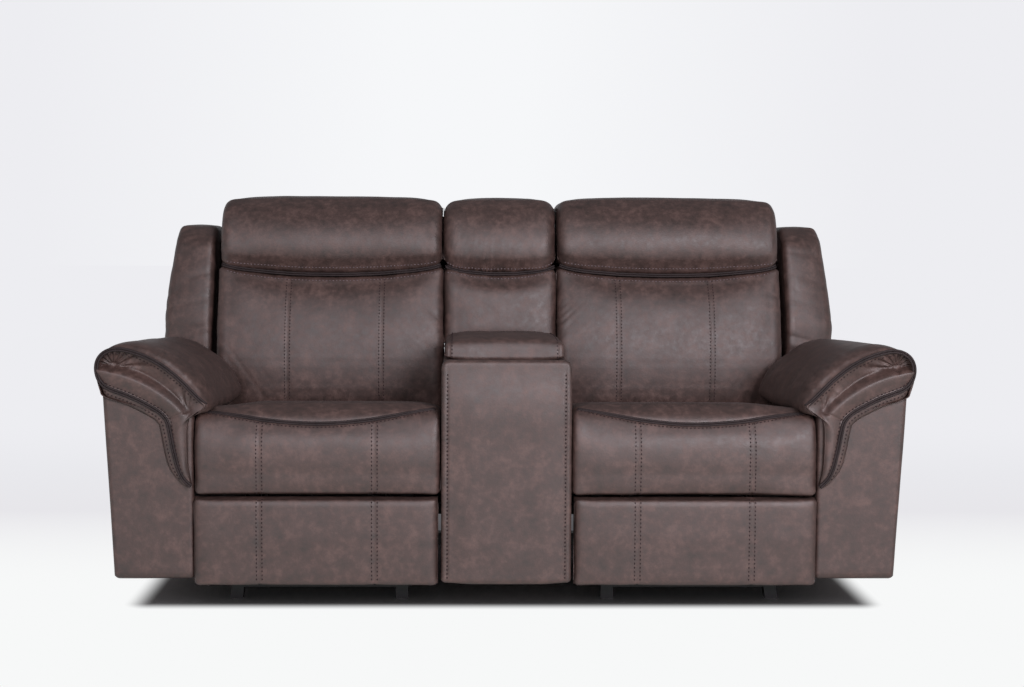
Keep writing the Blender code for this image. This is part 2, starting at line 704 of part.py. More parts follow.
def make_release(side, plastic):
    """A flush dish on the arm's outer face, with a lever hinged along its top edge."""
    tilt = math.atan(arm_slope)
    height = RELEASE_DROP
    face = arm_outer(release_z) + TOUCH
    name = side_name(side)
    half_length = RELEASE_LENGTH / 2
    outer = (-half_length, half_length, -height, 0.0)
    inset = RELEASE_WALL
    inner = (outer[0] + inset, outer[1] - inset, outer[2] + inset, outer[3] - inset)
    rings = []
    for edges, x in ((outer, 0.0), (outer, RELEASE_DEPTH), (inner, RELEASE_DEPTH), (inner, RELEASE_WALL)):
        y0, y1, z0, z1 = edges
        rings.append([Vector((side * x, y, z)) for y, z in ((y0, z0), (y1, z0), (y1, z1), (y0, z1))])
    dish = skin("release_dish_" + name, rings, plastic)
    dish.location = (side * face, RELEASE_Y, release_z)
    dish.rotation_euler = (0.0, side * tilt, 0.0)
    thick = LEVER_THICKNESS / 2
    rise = RELEASE_WALL + PIN_CLEARANCE + thick
    hinge_x = face + math.cos(tilt) * rise - math.sin(tilt) * rise
    hinge_z = release_z - math.sin(tilt) * rise - math.cos(tilt) * rise
    hinge = pivot("release_pivot_" + name, (side * hinge_x, RELEASE_Y, hinge_z))
    reach = half_length - RELEASE_WALL - TOUCH
    drop = height - 2 * RELEASE_WALL - thick - LEVER_FINGER_GAP
    outline = [(thick, -drop), (thick, 0.0)]
    round_steps = 6
    for i in range(1, round_steps):
        angle = math.pi * i / round_steps
        outline.append((thick * math.cos(angle), thick * math.sin(angle)))
    outline += [(-thick, 0.0), (-thick, -drop)]
    rings = [[Vector((u, y, v)) for u, v in outline] for y in (-reach, reach)]
    lever = skin("release_lever_" + name, rings, plastic)
    lever.parent = hinge
    lever.rotation_euler = (0.0, side * tilt, 0.0)


def make_recline_pivots(side, steel):
    """Two plates with pins that carry a back: one on the console's side, one standing on the arm."""
    y = BACK_PIVOT_Y
    z = BACK_PIVOT_Z
    name = side_name(side)
    start = console_half + TOUCH
    shoulder = frame_inner - TOUCH
    end = frame_inner + PIVOT_PIN_LENGTH
    steps = ((start, PIVOT_PLATE_RADIUS), (shoulder, PIVOT_PLATE_RADIUS), (shoulder, PIVOT_PIN_RADIUS))
    steps += ((end, PIVOT_PIN_RADIUS),)
    rings = [[Vector((side * x, v, w)) for v, w in circle(y, z, radius)] for x, radius in steps]
    shade_round(skin("recline_pivot_" + name + "_inner", rings, steel))

    plate_start = max(frame_outer + TOUCH, arm_inner + PIVOT_PLATE_INSET)
    plate_end = plate_start + PIVOT_PLATE_THICKNESS
    left = y - PIVOT_PLATE_RADIUS
    right = y + PIVOT_PLATE_RADIUS
    outline = [(left, arm_step_line(left) + TOUCH), (right, arm_step_line(right) + TOUCH)]
    steps_round = 10
    for i in range(steps_round + 1):
        angle = math.pi * i / steps_round
        outline.append((y + PIVOT_PLATE_RADIUS * math.cos(angle), z + PIVOT_PLATE_RADIUS * math.sin(angle)))
    plate = prism("recline_pivot_" + name + "_outer", outline, side * plate_start, side * plate_end, steel)
    pin_end = frame_outer - PIVOT_PIN_LENGTH
    pin = rod("pin", side * pin_end, side * (plate_start + PIVOT_PLATE_THICKNESS / 2), y, z, PIVOT_PIN_RADIUS, steel)
    combine(plate, pin, "UNION")


def make_back(side, leather, wood):
    name = side_name(side)
    hinge = pivot("recline_pivot_axis_" + name, (0.0, BACK_PIVOT_Y, BACK_PIVOT_Z))
    top = BACK_FRAME_TOP
    rear_bottom = lug_bottom - 0.045
    outline = [(lug_front_y, lug_bottom), (lug_front_y, lug_top), (frame_foot_y, lug_top)]
    outline += [(frame_front(top), top)] + frame_top_rear() + [(REAR_BOTTOM_Y, rear_bottom)]
    frame = prism("back_frame_" + name, outline, side * frame_inner, side * frame_outer, wood)
    reach = PIVOT_PIN_LENGTH + PIN_CLEARANCE
    hole = PIVOT_PIN_RADIUS + PIN_CLEARANCE
    for start, end in ((frame_inner - reach, frame_inner + reach), (frame_outer - reach, frame_outer + reach)):
        tool = rod("hole", side * start, side * end, BACK_PIVOT_Y, BACK_PIVOT_Z, hole, wood)
        combine(frame, tool, "DIFFERENCE")
    hang(frame, hinge)

    bottom = lug_top + TOUCH
    leg_bottom = back_leg_bottom
    belly = back_height(BACK_BELLY_SHARE)
    shoulder = back_height(BACK_SHOULDER_SHARE)
    lumbar = frame_front(belly) - LUMBAR_DEPTH - BELLY_BULGE
    corners = [(lug_front_y - 0.050, leg_bottom, 0.020, 0.6)]
    corners += [(lumbar + 0.004, back_height(BACK_FOLD_SHARE), 0.03, 1.0), (lumbar, belly, 0.05, 1.0)]
    corners += [(frame_front(shoulder) - LUMBAR_DEPTH - SHOULDER_BULGE, shoulder, 0.08, 1.0)]
    corners += back_top_corners()
    corners += [(frame_foot_y - TOUCH, bottom, 0.0, 0.0)]
    corners += [(lug_front_y - TOUCH, bottom, 0.0, 0.0), (lug_front_y - TOUCH, leg_bottom, 0.0, 0.0)]
    seams = (BACK_WIDTH * BACK_SEAM_SHARE, BACK_WIDTH * (1 - BACK_SEAM_SHARE))
    seam = headrest_seam
    crown = BACK_CROWN
    pad = cushion("back_cushion_" + name, side, back_inner, back_outer, corners, 0.024, crown, leather, seams,
                  high=seam - TOUCH)
    hang(pad, hinge)
    roll = cushion("headrest_" + name, side, back_inner, back_outer, headrest_corners(), 0.032, crown, leather,
                   low=seam)
    hang(roll, hinge)

    front = frame_front(shoulder) - LUMBAR_DEPTH + WING_SETBACK
    corners = [(front, arm_top + WING_CLEARANCE, 0.038, 1.0), (front + 0.012, shoulder, 0.08, 1.0)]
    corners += [(front + 0.080, wing_top - 0.040, 0.060, 1.0), (front + 0.150, wing_top, 0.050, 1.0)]
    corners += [(frame_rear(wing_top) - 0.025, wing_top, 0.040, 1.0), (REAR_BOTTOM_Y, rear_bottom + 0.030, 0.030, 0.5)]
    corners += [(BACK_PIVOT_Y + 0.095, BACK_PIVOT_Z - 0.028, 0.020, 0.2)]
    corners += [(BACK_PIVOT_Y + 0.055, arm_top + WING_CLEARANCE, 0.015, 0.2)]
    wing = cushion("wing_" + name, side, wing_inner, wing_outer, corners, 0.030, 0.006, leather)
    hang(wing, hinge)


def make_seat(side, leather, steel):
    name = side_name(side)
    carriage = pivot("seat_carriage_" + name, (0.0, 0.0, 0.0))
    deck_inner = seat_inner + FOOTREST_BOARD_MARGIN
    deck_outer = seat_outer - FOOTREST_BOARD_MARGIN
    rear = SEAT_REAR_Y - TOUCH
    frame = block("seat_frame_" + name, side * deck_inner, side * deck_outer, seat_deck_front, rear,
                  seat_deck_bottom, seat_deck_top, steel)
    sunk = seat_deck_bottom + SEAT_DECK_THICKNESS / 2
    half = RAIL_WIDTH / 2
    for x in (inner_rail_x, outer_rail_x):
        bar = block("runner", side * (x - half), side * (x + half), rear - SEAT_RUNNER_LENGTH, rear - 0.010,
                    runner_top + TOUCH, sunk, steel)
        combine(frame, bar, "UNION")
    low = drive_pivot_z - 2 * LINK_HALF_WIDTH
    length = BEARING_PLATE_LENGTH / 2
    for x in (bearing_inner, bearing_outer - BEARING_PLATE_THICKNESS):
        plate = block("plate", side * x, side * (x + BEARING_PLATE_THICKNESS), DRIVE_PIVOT_Y - length,
                      DRIVE_PIVOT_Y + length, low, sunk, steel)
        combine(frame, plate, "UNION")
    hole = DRIVE_TUBE_RADIUS + PIN_CLEARANCE
    bore = rod("bore", side * bearing_inner * 0.9, side * bearing_outer * 1.1, DRIVE_PIVOT_Y, drive_pivot_z, hole, steel)
    combine(frame, bore, "DIFFERENCE")
    hang(frame, carriage)

    rear_top = seat_crest - SEAT_REAR_DROP
    lip = seat_front_y + SEAT_LIP
    front = seat_front_y
    corners = [(front, seat_front_bottom, 0.0, 0.5), (front, seat_crest, 0.070, 1.0)]
    corners += [(SEAT_REAR_Y, rear_top, 0.034, 0.8), (SEAT_REAR_Y, seat_deck_top + TOUCH, 0.0, 0.0)]
    corners += [(lip, seat_deck_top + TOUCH, 0.0, 0.0), (lip, seat_front_bottom, 0.0, 0.0)]
    seams = (SEAT_WIDTH * SEAT_SEAM_SHARE, SEAT_WIDTH * (1 - SEAT_SEAM_SHARE))
    crown = SEAT_CROWN
    pad = cushion("seat_cushion_" + name, side, seat_inner, seat_outer, corners, 0.034, crown, leather, seams,
                  low=seat_front_bottom)
    hang(pad, carriage)
    return carriage


def make_footrest(side, carriage, leather, steel, wood):
    """Drive tube with two arms, two front links and the footrest board with its pad."""
    name = side_name(side)
    drive_place = (0.0, DRIVE_PIVOT_Y, drive_pivot_z)
    link_place = (0.0, link_pivot_y, link_pivot_z)
    rest_place = (0.0, footrest_pivot_y, footrest_pivot_z)
    drive_axis = pivot("drive_pivot_" + name, drive_place, carriage)
    link_axis = pivot("link_pivot_" + name, link_place, drive_axis)
    rest_axis = pivot("footrest_pivot_" + name, rest_place, link_axis)

    overrun = BEARING_PLATE_THICKNESS
    tube = rod("footrest_drive_" + name, side * (bearing_inner - overrun), side * (bearing_outer + overrun),
               DRIVE_PIVOT_Y, drive_pivot_z, DRIVE_TUBE_RADIUS, steel)
    pad_y = FRONT_Y + FOOTREST_PAD_THICKNESS
    board_front = pad_y + TOUCH
    margin = FOOTREST_BOARD_MARGIN
    low = FOOTREST_BOTTOM + margin
    high = split_z - margin
    board = block("footrest_board_" + name, side * (seat_inner + margin), side * (seat_outer - margin),
                  board_front, footrest_board_rear_y, low, high, wood)
    hole = LINK_PIN_RADIUS + PIN_CLEARANCE
    drive_line = capsule(drive_place[1:], link_place[1:], LINK_HALF_WIDTH)
    link_line = capsule(link_place[1:], rest_place[1:], LINK_HALF_WIDTH)
    lug_root = (footrest_board_rear_y - FOOTREST_BOARD_THICKNESS / 2 + LINK_HALF_WIDTH, footrest_pivot_z)
    lug_line = capsule(lug_root, rest_place[1:], LINK_HALF_WIDTH)
    pitch = LINK_THICKNESS + TOUCH
    inner_face = bearing_inner + BEARING_PLATE_THICKNESS + TOUCH
    outer_face = bearing_outer - BEARING_PLATE_THICKNESS - TOUCH
    for label, face, step in (("inner", inner_face, 1), ("outer", outer_face, -1)):
        arm_end = face + step * LINK_THICKNESS
        link_start = face + step * pitch
        link_end = link_start + step * LINK_THICKNESS
        lug_start = link_start + step * pitch
        lug_end = lug_start + step * LINK_THICKNESS
        arm = prism("arm", drive_line, side * face, side * arm_end, steel)
        combine(tube, arm, "UNION")
        pin = rod("pin", side * (face + step * LINK_THICKNESS / 2), side * (lug_start + step * LINK_THICKNESS / 2),
                  link_pivot_y, link_pivot_z, LINK_PIN_RADIUS, steel)
        combine(tube, pin, "UNION")
        link = prism("front_link_" + name + "_" + label, link_line, side * link_start, side * link_end, steel)
        reach = 2 * LINK_THICKNESS
        for y, z in (link_place[1:], rest_place[1:]):
            bore = rod("bore", side * (link_start - step * reach), side * (link_end + step * reach), y, z, hole, steel)
            combine(link, bore, "DIFFERENCE")
        hang(link, link_axis)
        lug = prism("lug", lug_line, side * lug_start, side * lug_end, steel)
        combine(board, lug, "UNION")
        pin = rod("pin", side * (face + step * LINK_THICKNESS / 2), side * (lug_start + step * LINK_THICKNESS / 2),
                  footrest_pivot_y, footrest_pivot_z, LINK_PIN_RADIUS, steel)
        combine(board, pin, "UNION")
    hang(tube, drive_axis)
    hang(board, rest_axis)

    corners = [(FRONT_Y, FOOTREST_BOTTOM, 0.016, 0.8), (FRONT_Y, split_z, 0.016, 0.8)]
    corners += [(pad_y, split_z, 0.0, 0.0), (pad_y, FOOTREST_BOTTOM, 0.0, 0.0)]
    seams = (SEAT_WIDTH * SEAT_SEAM_SHARE, SEAT_WIDTH * (1 - SEAT_SEAM_SHARE))
    pad = cushion("footrest_pad_" + name, side, seat_inner, seat_outer, corners, 0.016, 0.0, leather, seams)
    hang(pad, rest_axis)


def main():
    clear_scene()
    leather = make_material("brown upholstery leather", (0.140, 0.098, 0.088), 0.48, 0.0)
    steel = make_material("black painted steel", (0.012, 0.012, 0.012), 0.45, 0.6)
    chrome = make_material("polished cup metal", (0.80, 0.80, 0.80), 0.18, 1.0)
    plastic = make_material("black moulded plastic", (0.018, 0.018, 0.018), 0.5, 0.0)
    wood = make_material("plywood", (0.45, 0.32, 0.18), 0.7, 0.0)
    cloth = make_material("black dust cloth", (0.020, 0.019, 0.019), 0.9, 0.0)
    make_console(leather, plastic, wood, chrome)
    make_lid(leather, wood)
    make_centre_back(leather, wood)
    for side in (-1, 1):
        make_base_rail(side, "inner", inner_rail_x, 0.0, steel)
        make_base_rail(side, "outer", outer_rail_x, FOOT_SPLAY, steel)
        make_cross_tube(side, "front", FRONT_TUBE_Y, steel)
        make_cross_tube(side, "rear", REAR_TUBE_Y, steel)
        make_stretcher(side, steel)
        make_apron(side, cloth)
        make_arm_box(side, leather)
        make_arm_pillow(side, leather)
        make_arm_band(side, leather)
        make_release(side, plastic)
        make_recline_pivots(side, steel)
        make_back(side, leather, wood)
        carriage = make_seat(side, leather, steel)
        make_footrest(side, carriage, leather, steel, wood)
    bpy.context.view_layer.update()
    for thing in bpy.data.objects:
        if thing.type == "EMPTY":
            print(thing.name, [round(value, 5) for value in thing.matrix_world.translation])


main()
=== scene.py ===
import math

import bpy
import numpy as np
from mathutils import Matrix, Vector


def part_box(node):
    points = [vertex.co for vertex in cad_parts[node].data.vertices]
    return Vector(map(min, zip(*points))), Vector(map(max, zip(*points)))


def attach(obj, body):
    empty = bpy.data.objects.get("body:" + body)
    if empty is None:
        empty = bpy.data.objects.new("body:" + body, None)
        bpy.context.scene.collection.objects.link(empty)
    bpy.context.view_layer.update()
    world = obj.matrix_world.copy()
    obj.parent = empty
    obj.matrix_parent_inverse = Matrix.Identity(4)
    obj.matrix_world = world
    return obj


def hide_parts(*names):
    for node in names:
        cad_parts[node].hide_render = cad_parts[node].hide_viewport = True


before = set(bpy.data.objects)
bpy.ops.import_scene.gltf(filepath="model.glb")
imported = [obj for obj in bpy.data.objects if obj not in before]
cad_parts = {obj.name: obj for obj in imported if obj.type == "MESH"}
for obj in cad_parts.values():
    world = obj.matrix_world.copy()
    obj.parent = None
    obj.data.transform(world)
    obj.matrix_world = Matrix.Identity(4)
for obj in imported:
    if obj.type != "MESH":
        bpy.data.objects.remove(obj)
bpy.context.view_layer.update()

# Sizes in metres. Left is -X, the front is -Y.
COVER_SPACING = 0.012       # a cover's grid while it swells
REFINE = 3                  # the swelled grid is refined this many times
SWELL_FRAMES = 20           # steps of the swelling
SWELL_PRESSURE = 4.0
EVEN_TURNS = 6              # passes that even out the swelling of a cover
HELD_BELOW = 0.25           # parts of a cover that are less soft than this stay where they are
CURVE_STEPS = 40            # steps between two points of a smooth curve
CORNER_STEPS = 9            # points round a corner of an outline
SHARP_CUT = 0.0005          # a corner that is cut back by less than this stays sharp
LATTICE = 61                # cells of a random field before it repeats
PEBBLE_SIZE = 0.004
CORD_RADIUS = 0.0027        # one cord of the double piping
CORD_SPREAD = 0.0026        # each cord's distance from the piping line
CORD_STEP = 0.004           # distance between the rings of a cord
STITCH_PITCH = 0.0092
STITCH_LENGTH = 0.0050
STITCH_RADIUS = 0.0015
STITCH_ROW = 0.0066         # a row of stitches beside its seam
PIPING_ROW = 0.0120         # a row of stitches beside the arms' piping
CLOSE_ROW = 0.0098          # a row of stitches beside the other piping
SEAM_DEPTH = 0.0018         # the valley along a seam of a seat, a footrest or a back
SEAT_SEAMS = (0.265, 0.738)
BACK_SEAMS = (0.268, 0.683)
INNER_FULLNESS = 0.0035     # the backs stand this far out towards the middle
FOOT_INSET = 0.0025         # footrests keep this far away from the console
SEAT_BOARD = 0.3305         # height of a seat cushion's underside
SEAT_OUTER_DROP = 0.006     # a seat's top falls off beside its arm
HEADREST_INSET = 0.006      # a headrest ends this far inside its back cushion
CENTRE_ASIDE = 0.0015       # the centre headrest sits this far to the left
HEADREST_TOP = 0.90         # a headrest's sag has died out at this height
WING_TAPER = 0.023          # a wing's outer side leans in by this at its top
WING_TURN = 0.024           # its front falls back by this towards the outside
LID_MIDDLE = -0.14
ARM_FLARE = 0.0195          # an arm's outer face leans in by this towards its foot
FRONT_DROP = 0.014          # the console's cover hangs this far below its board
FOOT_DROP = 0.018           # the footrests' covers hang further
ARM_DROP = 0.008            # the arms' covers hang less far
GAP_DROP = 0.006            # the gap between seat and footrest lies this far below that of their boards
# Wrinkles of the covers, as (depth, width, length, how far they reach).
SEAT_GATHERS, SEAT_CREASES = (0.0005, 0.017, 0.060, 0.028), (0.0003, 0.022, 0.10, 0.05)
BACK_GATHERS, BACK_CORNER = (0.0012, 0.020, 0.080, 0.035), (0.0060, 0.024, 0.14, 0.075)
BACK_OUTER, BACK_INNER = (0.0012, 0.028, 0.11, 0.06), (0.0036, 0.020, 0.12, 0.040)
CENTRE_GATHERS, CENTRE_CORNER = (0.0016, 0.020, 0.080, 0.035), (0.0040, 0.026, 0.12, 0.060)
ROLL_GATHERS, ROLL_CREASES = (0.0004, 0.016, 0.090, 0.030), (0.0012, 0.026, 0.12, 0.055)
CENTRE_ROLL_GATHERS = (0.0056, 0.011, 0.090, 0.030)
PILLOW_GATHERS = (0.0046, 0.0135, 0.075, 0.050)

seat_low, seat_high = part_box("seat_cushion_right")
foot_low, foot_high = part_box("footrest_pad_right")
back_low, back_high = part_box("back_cushion_right")
roll_low, roll_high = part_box("headrest_right")
wing_low, wing_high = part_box("wing_right")
arm_low, arm_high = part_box("arm_box_right")
lid_low, lid_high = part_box("lid_pad")
panel_low, panel_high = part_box("console_front_pad")
centre_low, centre_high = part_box("centre_back_cushion")
frame_low, frame_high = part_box("back_frame_right")
seat_width = seat_high[0] - seat_low[0]
back_width = back_high[0] - back_low[0]
seam_height = roll_low[2]
front_y = panel_low[1]


def hex_colour(code):
    """An sRGB hex colour as linear RGBA."""
    channels = [int(code[i:i + 2], 16) / 255 for i in (1, 3, 5)]
    return tuple(c / 12.92 if c <= 0.04045 else ((c + 0.055) / 1.055) ** 2.4 for c in channels) + (1.0,)


def add_node(tree, kind, settings=None, inputs=None):
    """Adds a node, sets its properties, and sets or links its inputs."""
    node = tree.nodes.new(kind)
    for name, value in (settings or {}).items():
        setattr(node, name, value)
    for key, value in (inputs or {}).items():
        if isinstance(value, bpy.types.NodeSocket):
            tree.links.new(value, node.inputs[key])
        else:
            node.inputs[key].default_value = value
    return node


def ramp(tree, factor, stops):
    """A colour ramp through (place, hex colour) stops."""
    node = add_node(tree, "ShaderNodeValToRGB", inputs={"Fac": factor})
    elements = node.color_ramp.elements
    while len(elements) < len(stops):
        elements.new(0.5)
    for element, (place, code) in zip(elements, stops):
        element.position = place
        element.color = hex_colour(code)
    return node.outputs["Color"]


def new_surface(name):
    """An empty node material with its shader and its object coordinates."""
    material = bpy.data.materials.new(name)
    material.use_nodes = True
    tree = material.node_tree
    tree.nodes.clear()
    shader = add_node(tree, "ShaderNodeBsdfPrincipled")
    add_node(tree, "ShaderNodeOutputMaterial", inputs={"Surface": shader.outputs["BSDF"]})
    place = add_node(tree, "ShaderNodeTexCoord").outputs["Object"]
    return material, tree, shader, place


def noise(tree, place, size, detail=3.0, rough=0.55):
    """Cloudy noise whose blotches are about size metres across."""
    settings = {"Vector": place, "Scale": 1.0 / size, "Detail": detail, "Roughness": rough}
    return add_node(tree, "ShaderNodeTexNoise", inputs=settings).outputs["Fac"]


def ranged(tree, value, low, high, start=0.0, end=1.0, kind="LINEAR"):
    """A value between low and high brought to a range from start to end."""
    limits = {"Value": value, "From Min": low, "From Max": high, "To Min": start, "To Max": end}
    return add_node(tree, "ShaderNodeMapRange", {"interpolation_type": kind}, limits).outputs["Result"]


def spread(tree, value, low, high):
    """Noise around one half brought to a range of values."""
    return ranged(tree, value, 0.3, 0.7, low, high)


def bump(tree, height, strength, distance, below=None):
    """A normal from a height, over the normal of a coarser bump if there is one."""
    inputs = {"Height": height, "Strength": strength, "Distance": distance}
    if below is not None:
        inputs["Normal"] = below
    return add_node(tree, "ShaderNodeBump", inputs=inputs).outputs["Normal"]


def dress(tree, shader, colour, roughness, normal):
    """Links a surface's colour, roughness and bump to its shader."""
    for name, value in (("Base Color", colour), ("Roughness", roughness), ("Normal", normal)):
        tree.links.new(value, shader.inputs[name])


def leather_finish(name, stops, roughness, grain, ior):
    """Pigmented, rub-finished bonded leather: cloudy tone, pebbled grain, soft satin shine in patches."""
    material, tree, shader, place = new_surface(name)
    cloudy = noise(tree, place, 0.046, 4.0, 0.66)
    rubbed = noise(tree, place, 0.015, 3.0, 0.62)
    both = add_node(tree, "ShaderNodeMix", {"data_type": "FLOAT"}, {0: 0.45, 2: cloudy, 3: rubbed}).outputs[0]
    # Real pebbles are about 1.5 mm; they are drawn wider so that they still show at this distance.
    cells = {"Vector": place, "Scale": 1.0 / PEBBLE_SIZE, "Smoothness": 0.6, "Randomness": 0.9}
    pebbles = add_node(tree, "ShaderNodeTexVoronoi", {"feature": "SMOOTH_F1"}, cells).outputs["Distance"]
    dimples = bump(tree, noise(tree, place, 0.011, 3.0, 0.6), 0.4, 0.0005)
    shine = spread(tree, rubbed, roughness - 0.05, roughness + 0.07)
    dress(tree, shader, ramp(tree, both, stops), shine, bump(tree, pebbles, grain, 0.0007, dimples))
    shader.inputs["IOR"].default_value = ior
    return material


def plain_finish(name, stops, size, roughness, metallic=0.0, relief=0.0003, ior=1.5):
    """A hard surface with a faint mottle, uneven shine and a small bump, all of about one size."""
    material, tree, shader, place = new_surface(name)
    mottle = noise(tree, place, size, 4.0, 0.6)
    shine = spread(tree, mottle, roughness * 0.85, roughness * 1.2)
    dress(tree, shader, ramp(tree, mottle, stops), shine, bump(tree, mottle, 0.35, relief))
    shader.inputs["Metallic"].default_value = metallic
    if not metallic:
        shader.inputs["IOR"].default_value = ior
    return material


def plywood_finish():
    """Birch plywood, sanded: pale, with long grain lines along X and a dull face."""
    material, tree, shader, place = new_surface("birch_plywood")
    turned = add_node(tree, "ShaderNodeMapping", inputs={"Vector": place, "Scale": (3.0, 60.0, 60.0)})
    grain = noise(tree, turned.outputs["Vector"], 1.0, 5.0, 0.6)
    tone = ramp(tree, grain, ((0.3, "#A98A5F"), (0.7, "#CDB184")))
    dress(tree, shader, tone, spread(tree, grain, 0.55, 0.75), bump(tree, grain, 0.3, 0.0004))
    return material


# Brown leather with grey-mauve clouds, a little darker where the finish has gathered.
BROWN_TONES = ((0.33, "#291C17"), (0.50, "#3E2C27"), (0.67, "#57423C"))
brown_leather = leather_finish("bonded_leather_brown", BROWN_TONES, 0.56, 0.16, 1.66)
# Charcoal leather rolled over the piping cords: tight and smooth, so the grain hardly shows.
CHARCOAL_TONES = ((0.35, "#231D1D"), (0.65, "#322A2A"))
piping_leather = leather_finish("piping_leather_charcoal", CHARCOAL_TONES, 0.62, 0.06, 1.3)
# Bonded polyester thread, waxed, dyed darker than the leather so that each stitch shows as a dot; the dark
# tone also stands in for painted shade in the needle holes.
thread = plain_finish("waxed_polyester_thread", ((0.3, "#2A2021"), (0.7, "#3B3031")), 0.003, 0.75, ior=1.3)
# The same thread in a paler dye, along the piping of the headrests.
PALE_TONES = ((0.3, "#5C4F52"), (0.7, "#75686C"))
pale_thread = plain_finish("waxed_polyester_thread_pale", PALE_TONES, 0.003, 0.65)
# Powder-coated steel: black with a fine orange-peel texture.
STEEL_TONES = ((0.3, "#0B0B0C"), (0.7, "#17171A"))
black_steel = plain_finish("powder_coated_steel", STEEL_TONES, 0.0025, 0.42, relief=0.0002)
# Deep-drawn stainless steel, polished, with faint rub marks.
POLISHED_TONES = ((0.3, "#B9B9BB"), (0.7, "#D3D3D5"))
polished_steel = plain_finish("polished_stainless_steel", POLISHED_TONES, 0.006, 0.16, 1.0, 0.00005)
# Moulded ABS: even spark texture, dull black.
black_plastic = plain_finish("moulded_abs_black", ((0.3, "#131314"), (0.7, "#1E1E20")), 0.0016, 0.5)
# Spun-bond polypropylene dust cloth: matt black with a flecked web.
CLOTH_TONES = ((0.3, "#101011"), (0.7, "#232325"))
dust_cloth = plain_finish("spunbond_dust_cloth", CLOTH_TONES, 0.0035, 0.85, relief=0.0006)
plywood = plywood_finish()


def smooth(value, low, high):
    """Rises smoothly from 0 at low to 1 at high."""
    share = np.clip((value - low) / (high - low), 0.0, 1.0)
    return share * share * (3.0 - 2.0 * share)


def ridge(distance, width):
    """A rounded ridge: 1 on its line, fading out over a width to both sides."""
    return np.exp(-(distance / width) ** 2)


def between(field, row, column, u, v):
    """Values of a grid between its rows and columns, which go on from the start past the end."""
    rows, columns = field.shape[:2]
    row, column = row % rows, column % columns
    next_row, next_column = (row + 1) % rows, (column + 1) % columns
    first = field[row, column] * (1 - v) + field[row, next_column] * v
    last = field[next_row, column] * (1 - v) + field[next_row, next_column] * v
    return first * (1 - u) + last * u


def clouds(along, across, along_size, across_size, seed):
    """Smooth random values from -1 to 1 over a surface, in cells of the given sizes."""
    lattice = np.random.default_rng(seed).uniform(-1.0, 1.0, (LATTICE, LATTICE))
    u, v = np.broadcast_arrays(along / along_size, across / across_size)
    row, column = np.floor(u).astype(int), np.floor(v).astype(int)
    return between(lattice, row, column, smooth(u - row, 0.0, 1.0), smooth(v - column, 0.0, 1.0))


def folds(along, across, along_size, across_size, seed):
    """Wrinkles from -0.5 to 0.5: round backs between sharp valleys."""
    return np.abs(clouds(along, across, along_size, across_size, seed)) - 0.5


def wrinkles(kind, along, across, seed, away):
    """Wrinkles of one kind, which die out away from where they start."""
    depth, width, length, reach = kind
    return depth * folds(along, across, width, length, seed) * np.exp(-away / reach)


def unit(vectors, least=1e-9):
    """Vectors along the last axis brought to length 1."""
    return vectors / np.maximum(np.linalg.norm(vectors, axis=-1, keepdims=True), least)


def lengths_along(points):
    """The distance along a path at which each of its points lies."""
    return np.concatenate([[0.0], np.cumsum(np.linalg.norm(np.diff(points, axis=0), axis=1))])


def at_lengths(lengths, along, values):
    """A path's values at other lengths along it."""
    return np.stack([np.interp(lengths, along, column) for column in values.T], axis=1)


def through(values, index, closed):
    """Values at fractional places on a smooth curve through the given ones."""
    count = len(values)
    base = np.minimum(np.floor(index).astype(int), count - (1 if closed else 2))
    t = (index - base).reshape((-1,) + (1,) * (values.ndim - 1))

    def pick(shift):
        place = base + shift
        return values[place % count] if closed else values[np.clip(place, 0, count - 1)]

    p0, p1, p2, p3 = pick(-1), pick(0), pick(1), pick(2)
    return p1 + 0.5 * t * (p2 - p0 + t * (2 * p0 - 5 * p1 + 4 * p2 - p3 + t * (3 * (p1 - p2) + p3 - p0)))


def spline(points, count, closed=False):
    """Even points on a smooth curve through the given ones."""
    points = np.array(points, float)
    ends = len(points) if closed else len(points) - 1
    curve = through(points, np.linspace(0.0, ends, CURVE_STEPS * ends + 1), closed)
    along = lengths_along(curve)
    even = np.linspace(0.0, along[-1], count + 1 if closed else count)
    return at_lengths(even[:-1] if closed else even, along, curve)


def curved(points, count=14):
    """Close corners along a smooth curve through the given points of an outline."""
    return [(y, z, 0.0, 1.0) for y, z in spline(points, count)]


def rounded_outline(corners, spacing):
    """Even points round a closed outline of (u, v, radius, softness) corners."""
    flat = np.array([corner[:2] for corner in corners])
    dense = []
    for i, (_, _, radius, soft) in enumerate(corners):
        here = flat[i]
        back, ahead = flat[i - 1] - here, flat[(i + 1) % len(flat)] - here
        back_length, ahead_length = np.linalg.norm(back), np.linalg.norm(ahead)
        back, ahead = back / back_length, ahead / ahead_length
        half = math.acos(max(-1.0, min(1.0, float(back @ ahead)))) / 2
        cut = min(radius / math.tan(half), 0.48 * back_length, 0.48 * ahead_length)
        if cut <= SHARP_CUT:
            dense.append((here[0], here[1], soft))
            continue
        for t in np.linspace(0.0, 1.0, CORNER_STEPS):
            place = (1 - t) ** 2 * (here + back * cut) + 2 * t * (1 - t) * here + t * t * (here + ahead * cut)
            dense.append((place[0], place[1], soft))
    dense = np.array(dense + dense[:1])
    along = lengths_along(dense[:, :2])
    count = max(12, round(along[-1] / spacing))
    return at_lengths(np.arange(count) * along[-1] / count, along, dense)


def outline_normals(outline):
    """Unit normals in the outline's plane that point out of it."""
    ahead, back = np.roll(outline, -1, axis=0), np.roll(outline, 1, axis=0)
    way = ahead[:, :2] - back[:, :2]
    turn = np.sum(outline[:, 0] * ahead[:, 1] - ahead[:, 0] * outline[:, 1])
    return unit(np.stack([way[:, 1], -way[:, 0]], axis=1) * np.sign(turn))


